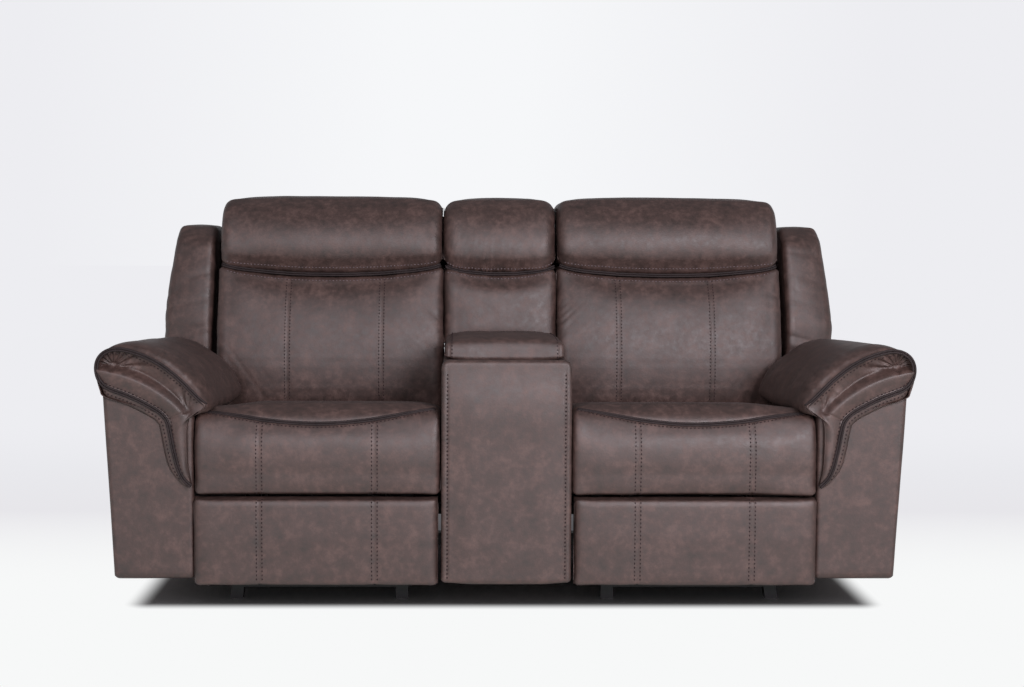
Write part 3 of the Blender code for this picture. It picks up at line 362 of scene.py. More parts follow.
def end_rows(start, end, reach, spacing):
    """Places along a pad, with how far the outline is drawn in at each: a quarter round at both ends."""
    steps = max(3, round(math.pi / 2 * reach / spacing))
    angles = np.linspace(0.0, math.pi / 2, steps + 1)[:-1]
    rows = [(start + reach * (1 - math.cos(a)), reach * (1 - math.sin(a))) for a in angles]
    count = max(3, round((end - start) / spacing))
    rows += [(x, 0.0) for x in np.linspace(start + reach, end - reach, count)]
    return rows + [(end - (x - start), inset) for x, inset in reversed(rows[:steps])]


class Cover:
    """A closed cover on a grid: rows run along it, columns run round it, the end rows are single points."""

    def __init__(self, points, soft, cap=0.0, sewn=None, stretch=(1.0, 1.0, 1.0)):
        self.home = points
        self.points = points.copy()
        self.soft = np.broadcast_to(soft, points.shape[:2])
        self.sewn = self.soft < HELD_BELOW
        if sewn is not None:
            self.sewn = self.sewn | sewn
        self.cap = cap
        self.stretch = np.array(stretch)

    def refined(self):
        """A finer copy for one side's details."""
        fine = Cover(refine(self.home), refine(self.soft[..., None])[..., 0])
        fine.points = refine(self.points)
        return fine

    def shift(self, axis, amount):
        """Moves the cover along an axis by an amount at each point."""
        for grid in (self.home, self.points):
            grid[..., axis] += amount

    def normals(self):
        """Unit normals that point out of the cover."""
        down = np.gradient(self.points, axis=0)
        round_way = np.roll(self.points, -1, axis=1) - np.roll(self.points, 1, axis=1)
        normal = unit(np.cross(down, round_way), 1e-12)
        out = self.points - self.points.mean(axis=(0, 1))
        return normal * np.sign(np.sum(normal * out))

    def raise_by(self, height):
        """Moves the surface out by a height at each point."""
        self.points = self.points + self.normals() * height[..., None]

    def row_at(self, place):
        """Row number, with its fraction, at a place along the piece."""
        places = self.home[:, 0, 0] + np.arange(len(self.home)) * 1e-9
        return np.interp(place, places, np.arange(len(places)))

    def column_at(self, target, axes=(1, 2)):
        """The column nearest to a point of the middle row's outline."""
        middle = self.home[len(self.home) // 2][:, axes]
        return int(np.argmin(np.linalg.norm(middle - np.array(target), axis=1)))

    def column_step(self):
        """Mean distance between neighbouring columns."""
        middle = self.home[len(self.home) // 2]
        return np.linalg.norm(np.diff(middle, axis=0), axis=1).mean()

    def on_surface(self, rows, columns):
        """Points and normals at fractional rows and columns."""
        rows, columns = np.broadcast_arrays(np.asarray(rows, float), np.asarray(columns, float))
        row = np.clip(np.floor(rows).astype(int), 0, len(self.points) - 2)
        column = np.floor(columns).astype(int)
        u, v = (rows - row)[:, None], (columns - column)[:, None]
        return between(self.points, row, column, u, v), unit(between(self.normals(), row, column, u, v))


def refine(grid):
    """A grid with more rows and columns on smooth curves through its points."""
    rows, columns = grid.shape[:2]
    tall = through(grid, np.arange((rows - 1) * REFINE + 1) / REFINE, False)
    wide = through(np.swapaxes(tall, 0, 1), np.arange(columns * REFINE) / REFINE, True)
    return np.swapaxes(wide, 0, 1)


def loft(corners, start, end, reach, centre, rings=5, spacing=COVER_SPACING):
    """Points and softness of a pad along X: an outline in Y and Z, drawn in at both ends, with end faces."""
    outline = rounded_outline(corners, spacing)
    normals = outline_normals(outline)
    rows = []
    for place, inset in end_rows(start, end, reach, spacing):
        flat = outline[:, :2] - normals * (inset * np.minimum(1.0, outline[:, 2:]))
        rows.append(np.concatenate([np.full((len(flat), 1), place), flat], axis=1))
    for ring, first in ((rows[0], True), (rows[-1], False)):
        middle = np.array([ring[0, 0], centre[0], centre[1]])
        caps = [middle + (ring - middle) * t for t in np.linspace(0.0, 1.0, rings + 1)[:-1]]
        rows = caps + rows if first else rows + caps[::-1]
    return np.array(rows), outline[:, 2]


def grid_mesh(name, points):
    """A closed mesh from a grid whose first and last rows are single points."""
    rows, columns = points.shape[:2]
    inner = points[1:-1].reshape(-1, 3)
    vertices = np.concatenate([points[:1, 0], inner, points[-1:, 0]])
    number = 1 + np.arange((rows - 2) * columns).reshape(rows - 2, columns)
    following = np.roll(number, -1, axis=1)
    quads = np.stack([number[:-1], following[:-1], following[1:], number[1:]], axis=-1).reshape(-1, 4)
    last = len(vertices) - 1
    tips = [(0, b, a) for a, b in zip(number[0], following[0])]
    tips += [(last, a, b) for a, b in zip(number[-1], following[-1])]
    mesh = bpy.data.meshes.new(name)
    corners = np.concatenate([quads.reshape(-1), np.array(tips).reshape(-1)])
    starts = np.concatenate([np.arange(len(quads)) * 4, len(quads) * 4 + np.arange(len(tips)) * 3])
    mesh.vertices.add(len(vertices))
    mesh.vertices.foreach_set("co", vertices.astype(np.float32).reshape(-1))
    mesh.loops.add(len(corners))
    mesh.loops.foreach_set("vertex_index", corners.astype(np.int32))
    mesh.polygons.add(len(starts))
    mesh.polygons.foreach_set("loop_start", starts.astype(np.int32))
    mesh.update(calc_edges=True)
    if volume(vertices, quads) < 0:
        mesh.flip_normals()
    mesh.shade_smooth()
    return mesh


def volume(vertices, quads):
    """Signed volume of a closed skin of quads, near enough to tell which way it faces."""
    a, b, c, d = (vertices[quads[:, k]] for k in range(4))
    return float(np.sum(np.cross(a, b) * c) + np.sum(np.cross(a, c) * d))


def add_piece(name, mesh, material, body, nodes=()):
    """Shows a mesh as a piece on its body, in place of the nodes that it stands for."""
    piece = bpy.data.objects.new(name, mesh)
    bpy.context.scene.collection.objects.link(piece)
    mesh.materials.append(material)
    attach(piece, body)
    if nodes:
        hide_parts(*nodes)
    return piece


def inflate(covers):
    """Swells the covers together as sewn cloth under air pressure, each point within its cover's cap."""
    scene = bpy.context.scene
    shells = []
    for number, cover in enumerate(covers):
        mesh = grid_mesh("cover_%d" % number, cover.home)
        shell = bpy.data.objects.new(mesh.name, mesh)
        scene.collection.objects.link(shell)
        held = np.concatenate([[True], cover.sewn[1:-1].reshape(-1), [True]])
        shell.vertex_groups.new(name="sewn").add(np.flatnonzero(held).tolist(), 1.0, "ADD")
        cloth = shell.modifiers.new("cover", "CLOTH")
        cloth.settings.quality = 4
        cloth.settings.use_pressure = True
        cloth.settings.uniform_pressure_force = SWELL_PRESSURE
        cloth.settings.vertex_group_mass = "sewn"
        cloth.settings.effector_weights.gravity = 0.0
        cloth.collision_settings.use_collision = False
        cloth.point_cache.frame_start = 1
        cloth.point_cache.frame_end = SWELL_FRAMES
        shells.append(shell)
    for number in range(1, SWELL_FRAMES + 1):
        scene.frame_set(number)
    graph = bpy.context.evaluated_depsgraph_get()
    for cover, shell in zip(covers, shells):
        swelled = shell.evaluated_get(graph).data
        places = np.empty(len(swelled.vertices) * 3, np.float32)
        swelled.vertices.foreach_get("co", places)
        places = places.reshape(-1, 3).astype(float)
        points = cover.home.copy()
        points[0], points[-1] = places[0], places[-1]
        points[1:-1] = places[1:-1].reshape(points[1:-1].shape)
        shift = (points - cover.home) * cover.stretch
        for _ in range(EVEN_TURNS):
            shift = (np.roll(shift, 1, axis=1) + 2 * shift + np.roll(shift, -1, axis=1)) / 4
            shift[1:-1] = (shift[:-2] + 2 * shift[1:-1] + shift[2:]) / 4
        length = np.maximum(np.linalg.norm(shift, axis=2, keepdims=True), 1e-9)
        cover.points = cover.home + shift * cover.cap * np.tanh(length / cover.cap) / length
    for shell in shells:
        mesh = shell.data
        bpy.data.objects.remove(shell, do_unlink=True)
        bpy.data.meshes.remove(mesh)
    scene.frame_set(1)


def even_path(path, step):
    """A path's rows again at even steps; the first three columns are places."""
    along = lengths_along(path[:, :3])
    return at_lengths(np.linspace(0.0, along[-1], max(4, round(along[-1] / step) + 1)), along, path)


def tube(path, normals, sideways, lift, radius, sides=10):
    """A grid for a round cord beside a path on a surface, with closed ends."""
    tangent = unit(np.gradient(path, axis=0))
    side = unit(np.cross(tangent, normals))
    up = np.cross(side, tangent)
    middle = path + side * sideways + up * lift
    angle = np.arange(sides) * 2 * math.pi / sides
    ring = side[:, None] * np.cos(angle)[:, None] + up[:, None] * np.sin(angle)[:, None]
    points = middle[:, None] + ring * radius
    tips = [np.repeat(middle[k][None, None], sides, axis=1) for k in (0, -1)]
    return np.concatenate([tips[0], points, tips[1]])


def joined_mesh(name, grids):
    """One mesh from several closed grids."""
    vertices, faces, count = [], [], 0
    for grid in grids:
        mesh = grid_mesh("part", grid)
        vertices += [tuple(vertex.co) for vertex in mesh.vertices]
        faces += [tuple(count + v for v in face.vertices) for face in mesh.polygons]
        count = len(vertices)
        bpy.data.meshes.remove(mesh)
    mesh = bpy.data.meshes.new(name)
    mesh.from_pydata(vertices, [], faces)
    mesh.shade_smooth()
    return mesh


def double_piping(name, paths, body):
    """Two dark cords side by side along each path of (points, normals)."""
    grids = []
    for points, normals in paths:
        path = even_path(np.concatenate([points, normals], axis=1), CORD_STEP)
        for _ in range(EVEN_TURNS):
            path[1:-1] = (path[:-2] + 2 * path[1:-1] + path[2:]) / 4
        for sideways in (-CORD_SPREAD, CORD_SPREAD):
            grids.append(tube(path[:, :3], path[:, 3:], sideways, CORD_RADIUS * 0.45, CORD_RADIUS))
    return add_piece(name, joined_mesh(name, grids), piping_leather, body)


def stitch_tree():
    """Geometry nodes that set a row of stitches along every edge path of a mesh."""
    tree = bpy.data.node_groups.new("stitch_row", "GeometryNodeTree")
    tree.interface.new_socket("Geometry", in_out="INPUT", socket_type="NodeSocketGeometry")
    for name in ("Pitch", "Length", "Radius"):
        tree.interface.new_socket(name, in_out="INPUT", socket_type="NodeSocketFloat")
    tree.interface.new_socket("Geometry", in_out="OUTPUT", socket_type="NodeSocketGeometry")
    given = add_node(tree, "NodeGroupInput").outputs
    path = add_node(tree, "GeometryNodeMeshToCurve", inputs={"Mesh": given["Geometry"]})
    holes = add_node(tree, "GeometryNodeResampleCurve", {"mode": "LENGTH"},
                     {"Curve": path.outputs["Curve"], "Length": given["Pitch"]})
    half = add_node(tree, "ShaderNodeMath", {"operation": "MULTIPLY"}, {0: given["Length"], 1: 0.5})
    size = add_node(tree, "ShaderNodeCombineXYZ",
                    inputs={"X": given["Radius"], "Y": given["Radius"], "Z": half.outputs["Value"]})
    bead = add_node(tree, "GeometryNodeMeshUVSphere", inputs={"Segments": 6, "Rings": 4, "Radius": 1.0})
    way = add_node(tree, "GeometryNodeInputTangent").outputs["Tangent"]
    turn = add_node(tree, "FunctionNodeAlignRotationToVector", {"axis": "Z"}, {"Vector": way})
    sewn = add_node(tree, "GeometryNodeInstanceOnPoints", inputs={
        "Points": holes.outputs["Curve"], "Instance": bead.outputs["Mesh"],
        "Rotation": turn.outputs["Rotation"], "Scale": size.outputs["Vector"]})
    real = add_node(tree, "GeometryNodeRealizeInstances", inputs={"Geometry": sewn.outputs["Instances"]})
    shaded = add_node(tree, "GeometryNodeSetShadeSmooth", inputs={"Geometry": real.outputs["Geometry"]})
    add_node(tree, "NodeGroupOutput", inputs={"Geometry": shaded.outputs["Geometry"]})
    return tree


stitches = stitch_tree()


def stitch_rows(name, rows, body, yarn=thread):
    """Rows of stitches along paths of (points, normals), all on one body."""
    vertices, edges = [], []
    for points, normals in rows:
        first = len(vertices)
        vertices += [tuple(place) for place in points + normals * STITCH_RADIUS * 0.35]
        edges += [(k, k + 1) for k in range(first, len(vertices) - 1)]
    line = bpy.data.meshes.new(name + "_line")
    line.from_pydata(vertices, edges, [])
    guide = bpy.data.objects.new(name + "_line", line)
    bpy.context.scene.collection.objects.link(guide)
    sewing = guide.modifiers.new("stitches", "NODES")
    sewing.node_group = stitches
    sizes = {"Pitch": STITCH_PITCH, "Length": STITCH_LENGTH, "Radius": STITCH_RADIUS}
    for item in stitches.interface.items_tree:
        if item.name in sizes:
            sewing[item.identifier] = sizes[item.name]
    mesh = bpy.data.meshes.new_from_object(guide.evaluated_get(bpy.context.evaluated_depsgraph_get()))
    mesh.name = name
    mesh.materials.clear()
    bpy.data.objects.remove(guide, do_unlink=True)
    return add_piece(name, mesh, yarn, body)


def padded_cover(corners, start, end, reach, centre, cap, rings=5):
    """A cover along X, held at its end faces and at its hidden faces."""
    points, soft = loft(corners, start, end, reach, centre, rings)
    sewn = np.zeros(points.shape[:2], bool)
    sewn[:rings + 1] = True
    sewn[-rings - 1:] = True
    return Cover(points, soft, cap, sewn, (0.3, 1.0, 1.0))


def hidden(*places):
    """Corners of a cover's hidden faces, which stay hard."""
    return [(y, z, 0.0, 0.0) for y, z in places]


def across(low, width, shares):
    """Places across a cushion at shares of its width."""
    return [low + width * share for share in shares]


def headrest_sag(x, low, high):
    """How far the seam under a headrest lies above its middle height: high at the ends, low between them."""
    share = (2 * x - low - high) / (high - low)
    depth = 0.009 + 0.028 * (high - low)
    return depth * (0.47 - np.clip(1.0 - share * share, 0.0, 1.0) ** 0.8)


seat_seams = across(seat_low[0], seat_width, SEAT_SEAMS)
back_seams = across(back_low[0], back_width, BACK_SEAMS)

seat_front = front_y + 0.009
seat_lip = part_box("seat_frame_right")[0][1]
seat_foot, seat_rear = seat_low[2] - GAP_DROP, seat_high[1] - 0.006
seat_corners = [(seat_front, seat_foot, 0.012, 1.0)] + curved([
    (seat_front, 0.322), (seat_front - 0.002, 0.350), (seat_front, 0.395), (seat_front + 0.009, 0.437),
    (seat_front + 0.028, 0.465), (seat_front + 0.060, 0.4735)])
seat_corners += [(-0.22, 0.455, 0.20, 1.0), (seat_rear, 0.415, 0.020, 0.6)]
seat_corners += hidden((seat_rear, SEAT_BOARD), (seat_lip, SEAT_BOARD), (seat_lip, seat_foot))
seat_cover = padded_cover(
    seat_corners, seat_low[0] - 0.0030, seat_high[0] + 0.0030, 0.016, (seat_lip - 0.010, 0.37), 0.007)
seat_cover.cap = 0.007 - 0.004 * smooth(seat_cover.home[..., :1], 0.60, 0.68)
x, z = seat_cover.home[..., 0], seat_cover.home[..., 2]
seat_cover.shift(2, -SEAT_OUTER_DROP * smooth(x, 0.57, 0.71) * smooth(z, 0.34, 0.44))

foot_top, foot_hem = foot_high[2] - GAP_DROP, foot_low[2] - FOOT_DROP
foot_corners = [
    (front_y + 0.003, foot_hem, 0.011, 1.0), (front_y + 0.001, 0.17, 0.10, 1.0),
    (front_y + 0.003, foot_top, 0.007, 1.0)]
foot_corners += hidden((foot_high[1], foot_top), (foot_high[1], foot_hem))
foot_cover = padded_cover(
    foot_corners, foot_low[0] + FOOT_INSET, foot_high[0] + 0.0050, 0.014, (front_y + 0.022, 0.17), 0.0035)

seam_front, seam_rear = (0.166, seam_height, 0.014, 0.9), (0.306, seam_height)
back_start = back_low[0] - INNER_FULLNESS
back_corners = [(0.122, 0.366, 0.020, 0.8)] + curved([
    (0.110, 0.405), (0.100, 0.455), (0.0965, 0.515), (0.1025, 0.575), (0.117, 0.640), (0.137, 0.705),
    (0.157, 0.758)])
back_corners += [seam_front] + hidden(seam_rear, (0.238, 0.4315), (0.1717, 0.4315), (0.1717, 0.366))
back_cover = padded_cover(back_corners, back_start, back_high[0], 0.022, (0.160, 0.50), 0.013)
roll_corners = [seam_front] + curved([
    (0.155, 0.803), (0.148, 0.824), (0.1495, 0.852), (0.159, 0.888), (0.176, 0.924), (0.202, 0.954),
    (0.240, 0.970)])
roll_corners += [(0.404, 0.968, 0.050, 1.0)] + hidden((0.412, 0.9306), (0.3345, 0.9306), seam_rear)
roll_cover = padded_cover(
    roll_corners, back_start + 0.004, roll_high[0] - HEADREST_INSET, 0.027, (0.26, 0.95), 0.014)
centre_half, centre_foot = centre_high[0], centre_low[2]
centre_corners = [(0.122, centre_foot, 0.010, 0.8)] + curved([
    (0.119, 0.590), (0.123, 0.620), (0.132, 0.660), (0.138, 0.700), (0.143, 0.735), (0.156, 0.762)])
centre_corners += [seam_front] + hidden(seam_rear, (0.2665, centre_foot))
centre_cover = padded_cover(centre_corners, -centre_half, centre_half, 0.024, (0.20, 0.68), 0.012)
centre_roll = padded_cover(roll_corners, -centre_half, centre_half, 0.036, (0.26, 0.95), 0.016)
for pad, roll in ((back_cover, roll_cover), (centre_cover, centre_roll)):
    for cover in (pad, roll):
        x, z = cover.home[..., 0], cover.home[..., 2]
        near = smooth(z, 0.66, seam_height) if cover is pad else 1.0 - smooth(z, seam_height, HEADREST_TOP)
        cover.shift(2, headrest_sag(x, x.min(), x.max()) * near)

wing_corners = [
    (0.142, 0.478, 0.040, 1.0), (0.150, 0.64, 0.10, 1.0), (0.215, 0.862, 0.070, 1.0),
    (0.285, 0.898, 0.060, 1.0), (0.452, 0.896, 0.050, 1.0), (0.432, 0.338, 0.030, 0.6),
    (0.302, 0.362, 0.020, 0.3), (0.262, 0.474, 0.015, 0.3)]
wing_cover = padded_cover(
    wing_corners, wing_low[0] + 0.002, wing_high[0] + 0.006, 0.020, (0.34, 0.60), 0.008, rings=6)
lean = (wing_cover.home[..., 0] - wing_low[0]) / (wing_high[0] - wing_low[0])
wing_cover.shift(0, -WING_TAPER * lean * smooth(wing_cover.home[..., 2], 0.62, 0.90))
fallen = 1.0 - smooth(wing_cover.home[..., 1], 0.20, 0.34)
wing_cover.shift(1, WING_TURN * np.clip(lean, 0, 1) ** 1.5 * fallen)

lid_foot, lid_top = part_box("lid_board")[0][2] + 0.0012, lid_high[2]
lid_front, lid_rear = lid_low[1] + 0.002, lid_high[1] - 0.002
lid_corners = [
    (lid_front, lid_foot, 0.008, 0.8), (lid_low[1] + 0.012, lid_top - 0.004, 0.020, 1.0),
    (LID_MIDDLE, lid_top - 0.001, 0.2, 1.0), (lid_rear, lid_top - 0.005, 0.020, 1.0),
    (lid_rear, lid_foot, 0.008, 0.8)] + hidden((LID_MIDDLE, lid_foot))
lid_cover = padded_cover(lid_corners, lid_low[0], lid_high[0], 0.016, (LID_MIDDLE, 0.60), 0.007)


def around_of(cover):
    """Distance round a fine cover, for each of its columns."""
    return np.arange(cover.home.shape[1])[None] * cover.column_step()


def measures(cover):
    """Place across, distance round and how soft the surface is, for each point of a fine cover."""
    return cover.home[..., 0], around_of(cover), smooth(cover.soft, 0.3, 0.8)


def seam_relief(x, around, places, seed, depth):
    """The valley along each sewn seam, with small puckers on both sides of it."""
    height = np.zeros(np.broadcast(x, around).shape)
    for number, place in enumerate(places):
        away = x - place
        height -= depth * ridge(away, 0.0026) + 0.4 * depth * ridge(away, 0.020)
        pucker = folds(around, away, 0.026, 0.050, seed + number) * np.exp(-np.abs(away) / 0.026)
        height += 0.4 * depth * pucker * (1.0 - ridge(away, 0.005))
    return height


def dents(x, around, seed, depth):
    """Uneven filling: broad hollows and smaller ones among them."""
    broad, small = clouds(x, around, 0.14, 0.13, seed), clouds(x, around, 0.05, 0.055, seed + 7)
    return depth * (0.8 * broad + 0.30 * small)


def mirror(side):
    """Factors that leave a point on the right-hand side or take it over to the left."""
    return np.array([side, 1.0, 1.0])


def sided(path, side):
    """A path of points and normals on the right-hand side, or its mirror image on the left."""
    return path[0] * mirror(side), path[1] * mirror(side)


def column_path(cover, x, first, last, steps=90):
    """A path down a cover at a place across it, between two columns."""
    return cover.on_surface(np.full(steps, cover.row_at(x)), np.linspace(first, last, steps))


def double_rows(cover, places, first, last, side):
    """Stitch rows on both sides of seams, between two columns."""
    rows = []
    for place in places:
        for offset in (-STITCH_ROW, STITCH_ROW):
            rows.append(sided(column_path(cover, place + offset, first, last), side))
    return rows


def side_name(side):
    """The word for a side in the names of pieces and bodies."""
    return "left" if side < 0 else "right"


def show(name, cover, side, body, nodes):
    """Shows one side's finished cover in place of its nodes."""
    return add_piece(name, grid_mesh(name, cover.points * mirror(side)), brown_leather, body, nodes)


def make_seat(side):
    """A seat cushion whose front edge is piped; two seams run down its front."""
    name, seed = side_name(side), 20 + side
    cover = seat_cover.refined()
    x, around, soft = measures(cover)
    step = cover.column_step()
    high = cover.column_at((seat_front + 0.050, 0.471))
    low = cover.column_at((seat_front + 0.012, 0.440))
    up = 1.0 if high > low else -1.0

    def piped_edge(place):
        """The column of the piped edge, which rises towards both ends of the seat."""
        share = np.clip((2 * place - seat_low[0] - seat_high[0]) / seat_width, -1.0, 1.0)
        return low + (high - low) * share ** 2

    above = (np.arange(cover.home.shape[1])[None] - piped_edge(x)) * step * up
    face = 1.0 - smooth(above, -0.004, 0.004)
    height = seam_relief(x, around, seat_seams, seed, SEAM_DEPTH) * face
    height += dents(x, around, seed + 40, 0.0016)
    height -= 0.0026 * ridge(above, 0.0060) + 0.0008 * ridge(above, 0.020)
    height += wrinkles(SEAT_GATHERS, x, above, seed + 3, np.abs(above)) * smooth(above, 0.0, 0.010)
    ends = np.minimum(x - seat_low[0], seat_high[0] - x)
    creases = wrinkles(SEAT_CREASES, ends + 0.8 * above, above - ends, seed + 5, ends)
    height += creases * ridge(above, 0.10)
    cover.raise_by(height * soft)
    body = "seat_" + name
    show("seat_cushion_cover_" + name, cover, side, body, ["seat_cushion_" + name])
    xs = np.linspace(seat_low[0] + 0.010, seat_high[0] - 0.010, 120)
    line = piped_edge(xs)
    rows = cover.row_at(xs)
    double_piping("seat_piping_" + name, [sided(cover.on_surface(rows, line), side)], body)
    stitch = [sided(cover.on_surface(rows, line - up * CLOSE_ROW / step), side)]
    foot = 3 if up > 0 else cover.home.shape[1] - 3
    for place in seat_seams:
        stitch += double_rows(cover, [place], piped_edge(place) - up * 0.009 / step, foot, side)
    stitch_rows("seat_stitches_" + name, stitch, body)


def make_footrest(side):
    """The padded panel under the seat: its two seams carry on those of the seat."""
    name, seed = side_name(side), 60 + side
    cover = foot_cover.refined()
    x, around, soft = measures(cover)
    height = seam_relief(x, around, seat_seams, seed, SEAM_DEPTH) + dents(x, around, seed + 40, 0.0012)
    cover.raise_by(height * soft)
    body = "footrest_" + name
    show("footrest_cover_" + name, cover, side, body, ["footrest_pad_" + name])
    first = cover.column_at((front_y + 0.012, foot_low[2]))
    last = cover.column_at((front_y + 0.012, foot_high[2]))
    if first > cover.home.shape[1] / 2:
        first -= cover.home.shape[1]
    stitch_rows("footrest_stitches_" + name, double_rows(cover, seat_seams, first, last, side), body)


def sew_headrest(name, cover, roll, side, body):
    """The piping between a back and its headrest, with the stitch rows above and below it."""
    lines, rows = [], []
    start = max(roll.home[..., 0].min(), cover.home[..., 0].min()) + 0.004
    end = min(roll.home[..., 0].max(), cover.home[..., 0].max()) - 0.004
    places = np.linspace(start, end, 120)
    for pad, away in ((roll, CLOSE_ROW), (cover, -CLOSE_ROW)):
        along = pad.row_at(places)
        column = np.full(len(places), float(pad.column_at((0.164, seam_height - 0.010))))
        lines.append(pad.on_surface(along, column))
        beside = pad.on_surface(along[3:-3], column[3:-3] + away / pad.column_step())
        rows.append(sided(beside, side))
    middle = (lines[0][0] + lines[1][0]) / 2, lines[0][1] + lines[1][1]
    double_piping(name % "piping", [sided(middle, side)], body)
    stitch_rows(name % "stitches", rows, body, pale_thread)


def shape_headrest(roll, seed, gathers):
    """Uneven filling, gathers above the piped seam and creases at both ends of a headrest roll."""
    x, around, soft = measures(roll)
    start, end = x.min(), x.max()
    above = np.maximum(roll.home[..., 2] - seam_height - headrest_sag(x, start, end), 0.0)
    front = 1.0 - smooth(roll.home[..., 1], 0.22, 0.30)
    waver = x + 0.15 * clouds(x, above, 0.2, 0.2, 5)
    ends = np.minimum(x - start, end - x)
    height = dents(x, around, seed, 0.0018)
    height += wrinkles(gathers, waver, above, seed + 3, above) * front
    height += wrinkles(ROLL_CREASES, ends - 0.6 * above, above + ends, seed + 5, ends)
    roll.raise_by(height * soft)


def make_back(side):
    """A back cushion, its headrest roll above a sagging piped seam, and its wing."""
    name, seed = side_name(side), 100 + side
    body = "back_" + name
    cover = back_cover.refined()
    x, around, soft = measures(cover)
    z = cover.home[..., 2]
    height = seam_relief(x, around, back_seams, seed, SEAM_DEPTH) + dents(x, around, seed + 40, 0.0016)
    below = np.maximum(seam_height + headrest_sag(x, back_start, back_high[0]) - z, 0.0)
    height += wrinkles(BACK_GATHERS, x, below, seed + 3, below)
    corner = (back_high[0] - x) + 0.7 * (z - 0.40)
    height += wrinkles(BACK_CORNER, corner, x + z, seed + 5, np.maximum(corner, 0.0))
    height += wrinkles(BACK_OUTER, z + 0.3 * x, x, seed + 9, back_high[0] - x)
    inner = wrinkles(BACK_INNER, z - 0.9 * x, x + z, seed + 11, x - back_start)
    height += inner * ridge(z - 0.62, 0.07)
    cover.raise_by(height * soft)
    show("back_cushion_cover_" + name, cover, side, body, ["back_cushion_" + name])
    roll = roll_cover.refined()
    shape_headrest(roll, seed + 60, ROLL_GATHERS)
    show("headrest_cover_" + name, roll, side, body, ["headrest_" + name])
    sew_headrest("headrest_%s_" + name, cover, roll, side, body)
    top = cover.column_at((0.160, seam_height - 0.026))
    stitch = double_rows(cover, back_seams, cover.column_at((0.112, 0.40)), top, side)
    stitch_rows("back_stitches_" + name, stitch, body)

    wing = wing_cover.refined()
    x, around, soft = measures(wing)
    z = wing.home[..., 2]
    height = dents(x + wing.home[..., 1], z, seed + 80, 0.0020)
    crease = folds(z + 0.25 * x, x, 0.034, 0.16, seed + 83)
    height += 0.0038 * crease * (0.45 + 0.55 * ridge(z - 0.56, 0.12))
    wing.raise_by(height * soft)
    show("wing_cover_" + name, wing, side, body, ["wing_" + name])


def make_centre_back():
    """The fixed back behind the console, with its own headrest roll."""
    cover = centre_cover.refined()
    x, around, soft = measures(cover)
    z = cover.home[..., 2]
    below = np.maximum(seam_height + headrest_sag(x, -centre_half, centre_half) - z, 0.0)
    height = dents(x, around, 211, 0.0016)
    height += wrinkles(CENTRE_GATHERS, x, below, 213, below)
    corner = (centre_half - x) + 0.9 * (z - centre_foot)
    height += wrinkles(CENTRE_CORNER, corner, x + z, 215, np.maximum(corner, 0.0))
    cover.raise_by(height * soft)
    show("centre_back_cover", cover, 1, "frame", ["centre_back_cushion"])
    roll = centre_roll.refined()
    shape_headrest(roll, 221, CENTRE_ROLL_GATHERS)
    roll.points[..., 0] -= CENTRE_ASIDE
    show("centre_headrest_cover", roll, 1, "frame", ["centre_headrest"])
    sew_headrest("centre_headrest_%s", cover, roll, 1, "frame")


def make_lid():
    """The padded lid of the console: a stitched gusset along each side."""
    cover = lid_cover.refined()
    x, around, soft = measures(cover)
    edges = [lid_low[0] + 0.011, lid_high[0] - 0.011]
    height = seam_relief(x, around, edges, 231, 0.0022) + dents(x, around, 233, 0.0016)
    cover.raise_by(height * soft)
    show("lid_pad_cover", cover, 1, "lid", ["lid_pad", "lid_board"])
    first = cover.column_at((lid_low[1], lid_foot + 0.006))
    last = cover.column_at((lid_high[1], lid_foot + 0.006))
    places = (lid_low[0] + 0.017, lid_high[0] - 0.017)
    stitch_rows("lid_stitches", [column_path(cover, place, first, last, 120) for place in places], "lid")


# The arm's front, as (distance from the middle, height): the piping makes one hairpin at its outer end.
HAIRPIN = (0.9535, 0.562)
INNER_TIP, BAND_KNEE, LOWER_TIP = (0.7011, 0.482), (0.7891, 0.4413), (0.7365, 0.291)
CREST = [(0.9235, 0.6090), (0.8783, 0.6078), (0.843, 0.596), (0.8053, 0.576), (0.775, 0.553),
         (0.7543, 0.5343), (0.7219, 0.5012)]
UPPER_PIPING = [HAIRPIN, (0.9518, 0.580), (0.942, 0.5975), CREST[0], (0.9026, 0.6120)]
UPPER_PIPING += CREST[1:] + [INNER_TIP]
INNER_EDGE = [INNER_TIP, (0.7030, 0.476), (0.718, 0.467), (0.7380, 0.453), (0.7445, 0.435), (0.7465, 0.41),
              (0.746, 0.36), (0.7440, 0.33), LOWER_TIP]
LOWER_PIPING = [HAIRPIN, (0.9490, 0.5435), (0.9405, 0.5300), (0.9258, 0.5198), (0.9026, 0.511),
                (0.8783, 0.502), (0.845, 0.486), (0.8111, 0.4668), (0.7965, 0.453), BAND_KNEE]
LOWER_TAIL = [BAND_KNEE, (0.784, 0.415), (0.7798, 0.3904), (0.774, 0.363), (0.766, 0.332), (0.754, 0.307),
              LOWER_TIP]
# The pillow's outline behind the piping and further back, from its outer foot over the top to its inner foot.
PILLOW_FRONT = [(0.934, 0.500), (0.946, 0.518), (0.9535, 0.552), (0.9505, 0.582)] + CREST
PILLOW_FRONT += [(0.7011, 0.484), (0.703, 0.476), (0.712, 0.472), (0.735, 0.456), (0.80, 0.462),
                 (0.86, 0.478)]
PILLOW_FULL = [(0.934, 0.499), (0.947, 0.519), (0.955, 0.555), (0.948, 0.593), (0.921, 0.617), (0.878, 0.625),
               (0.832, 0.615), (0.785, 0.592), (0.744, 0.562), (0.714, 0.529), (0.697, 0.499), (0.690, 0.477),
               (0.696, 0.463), (0.714, 0.460), (0.735, 0.454), (0.80, 0.452), (0.86, 0.470)]
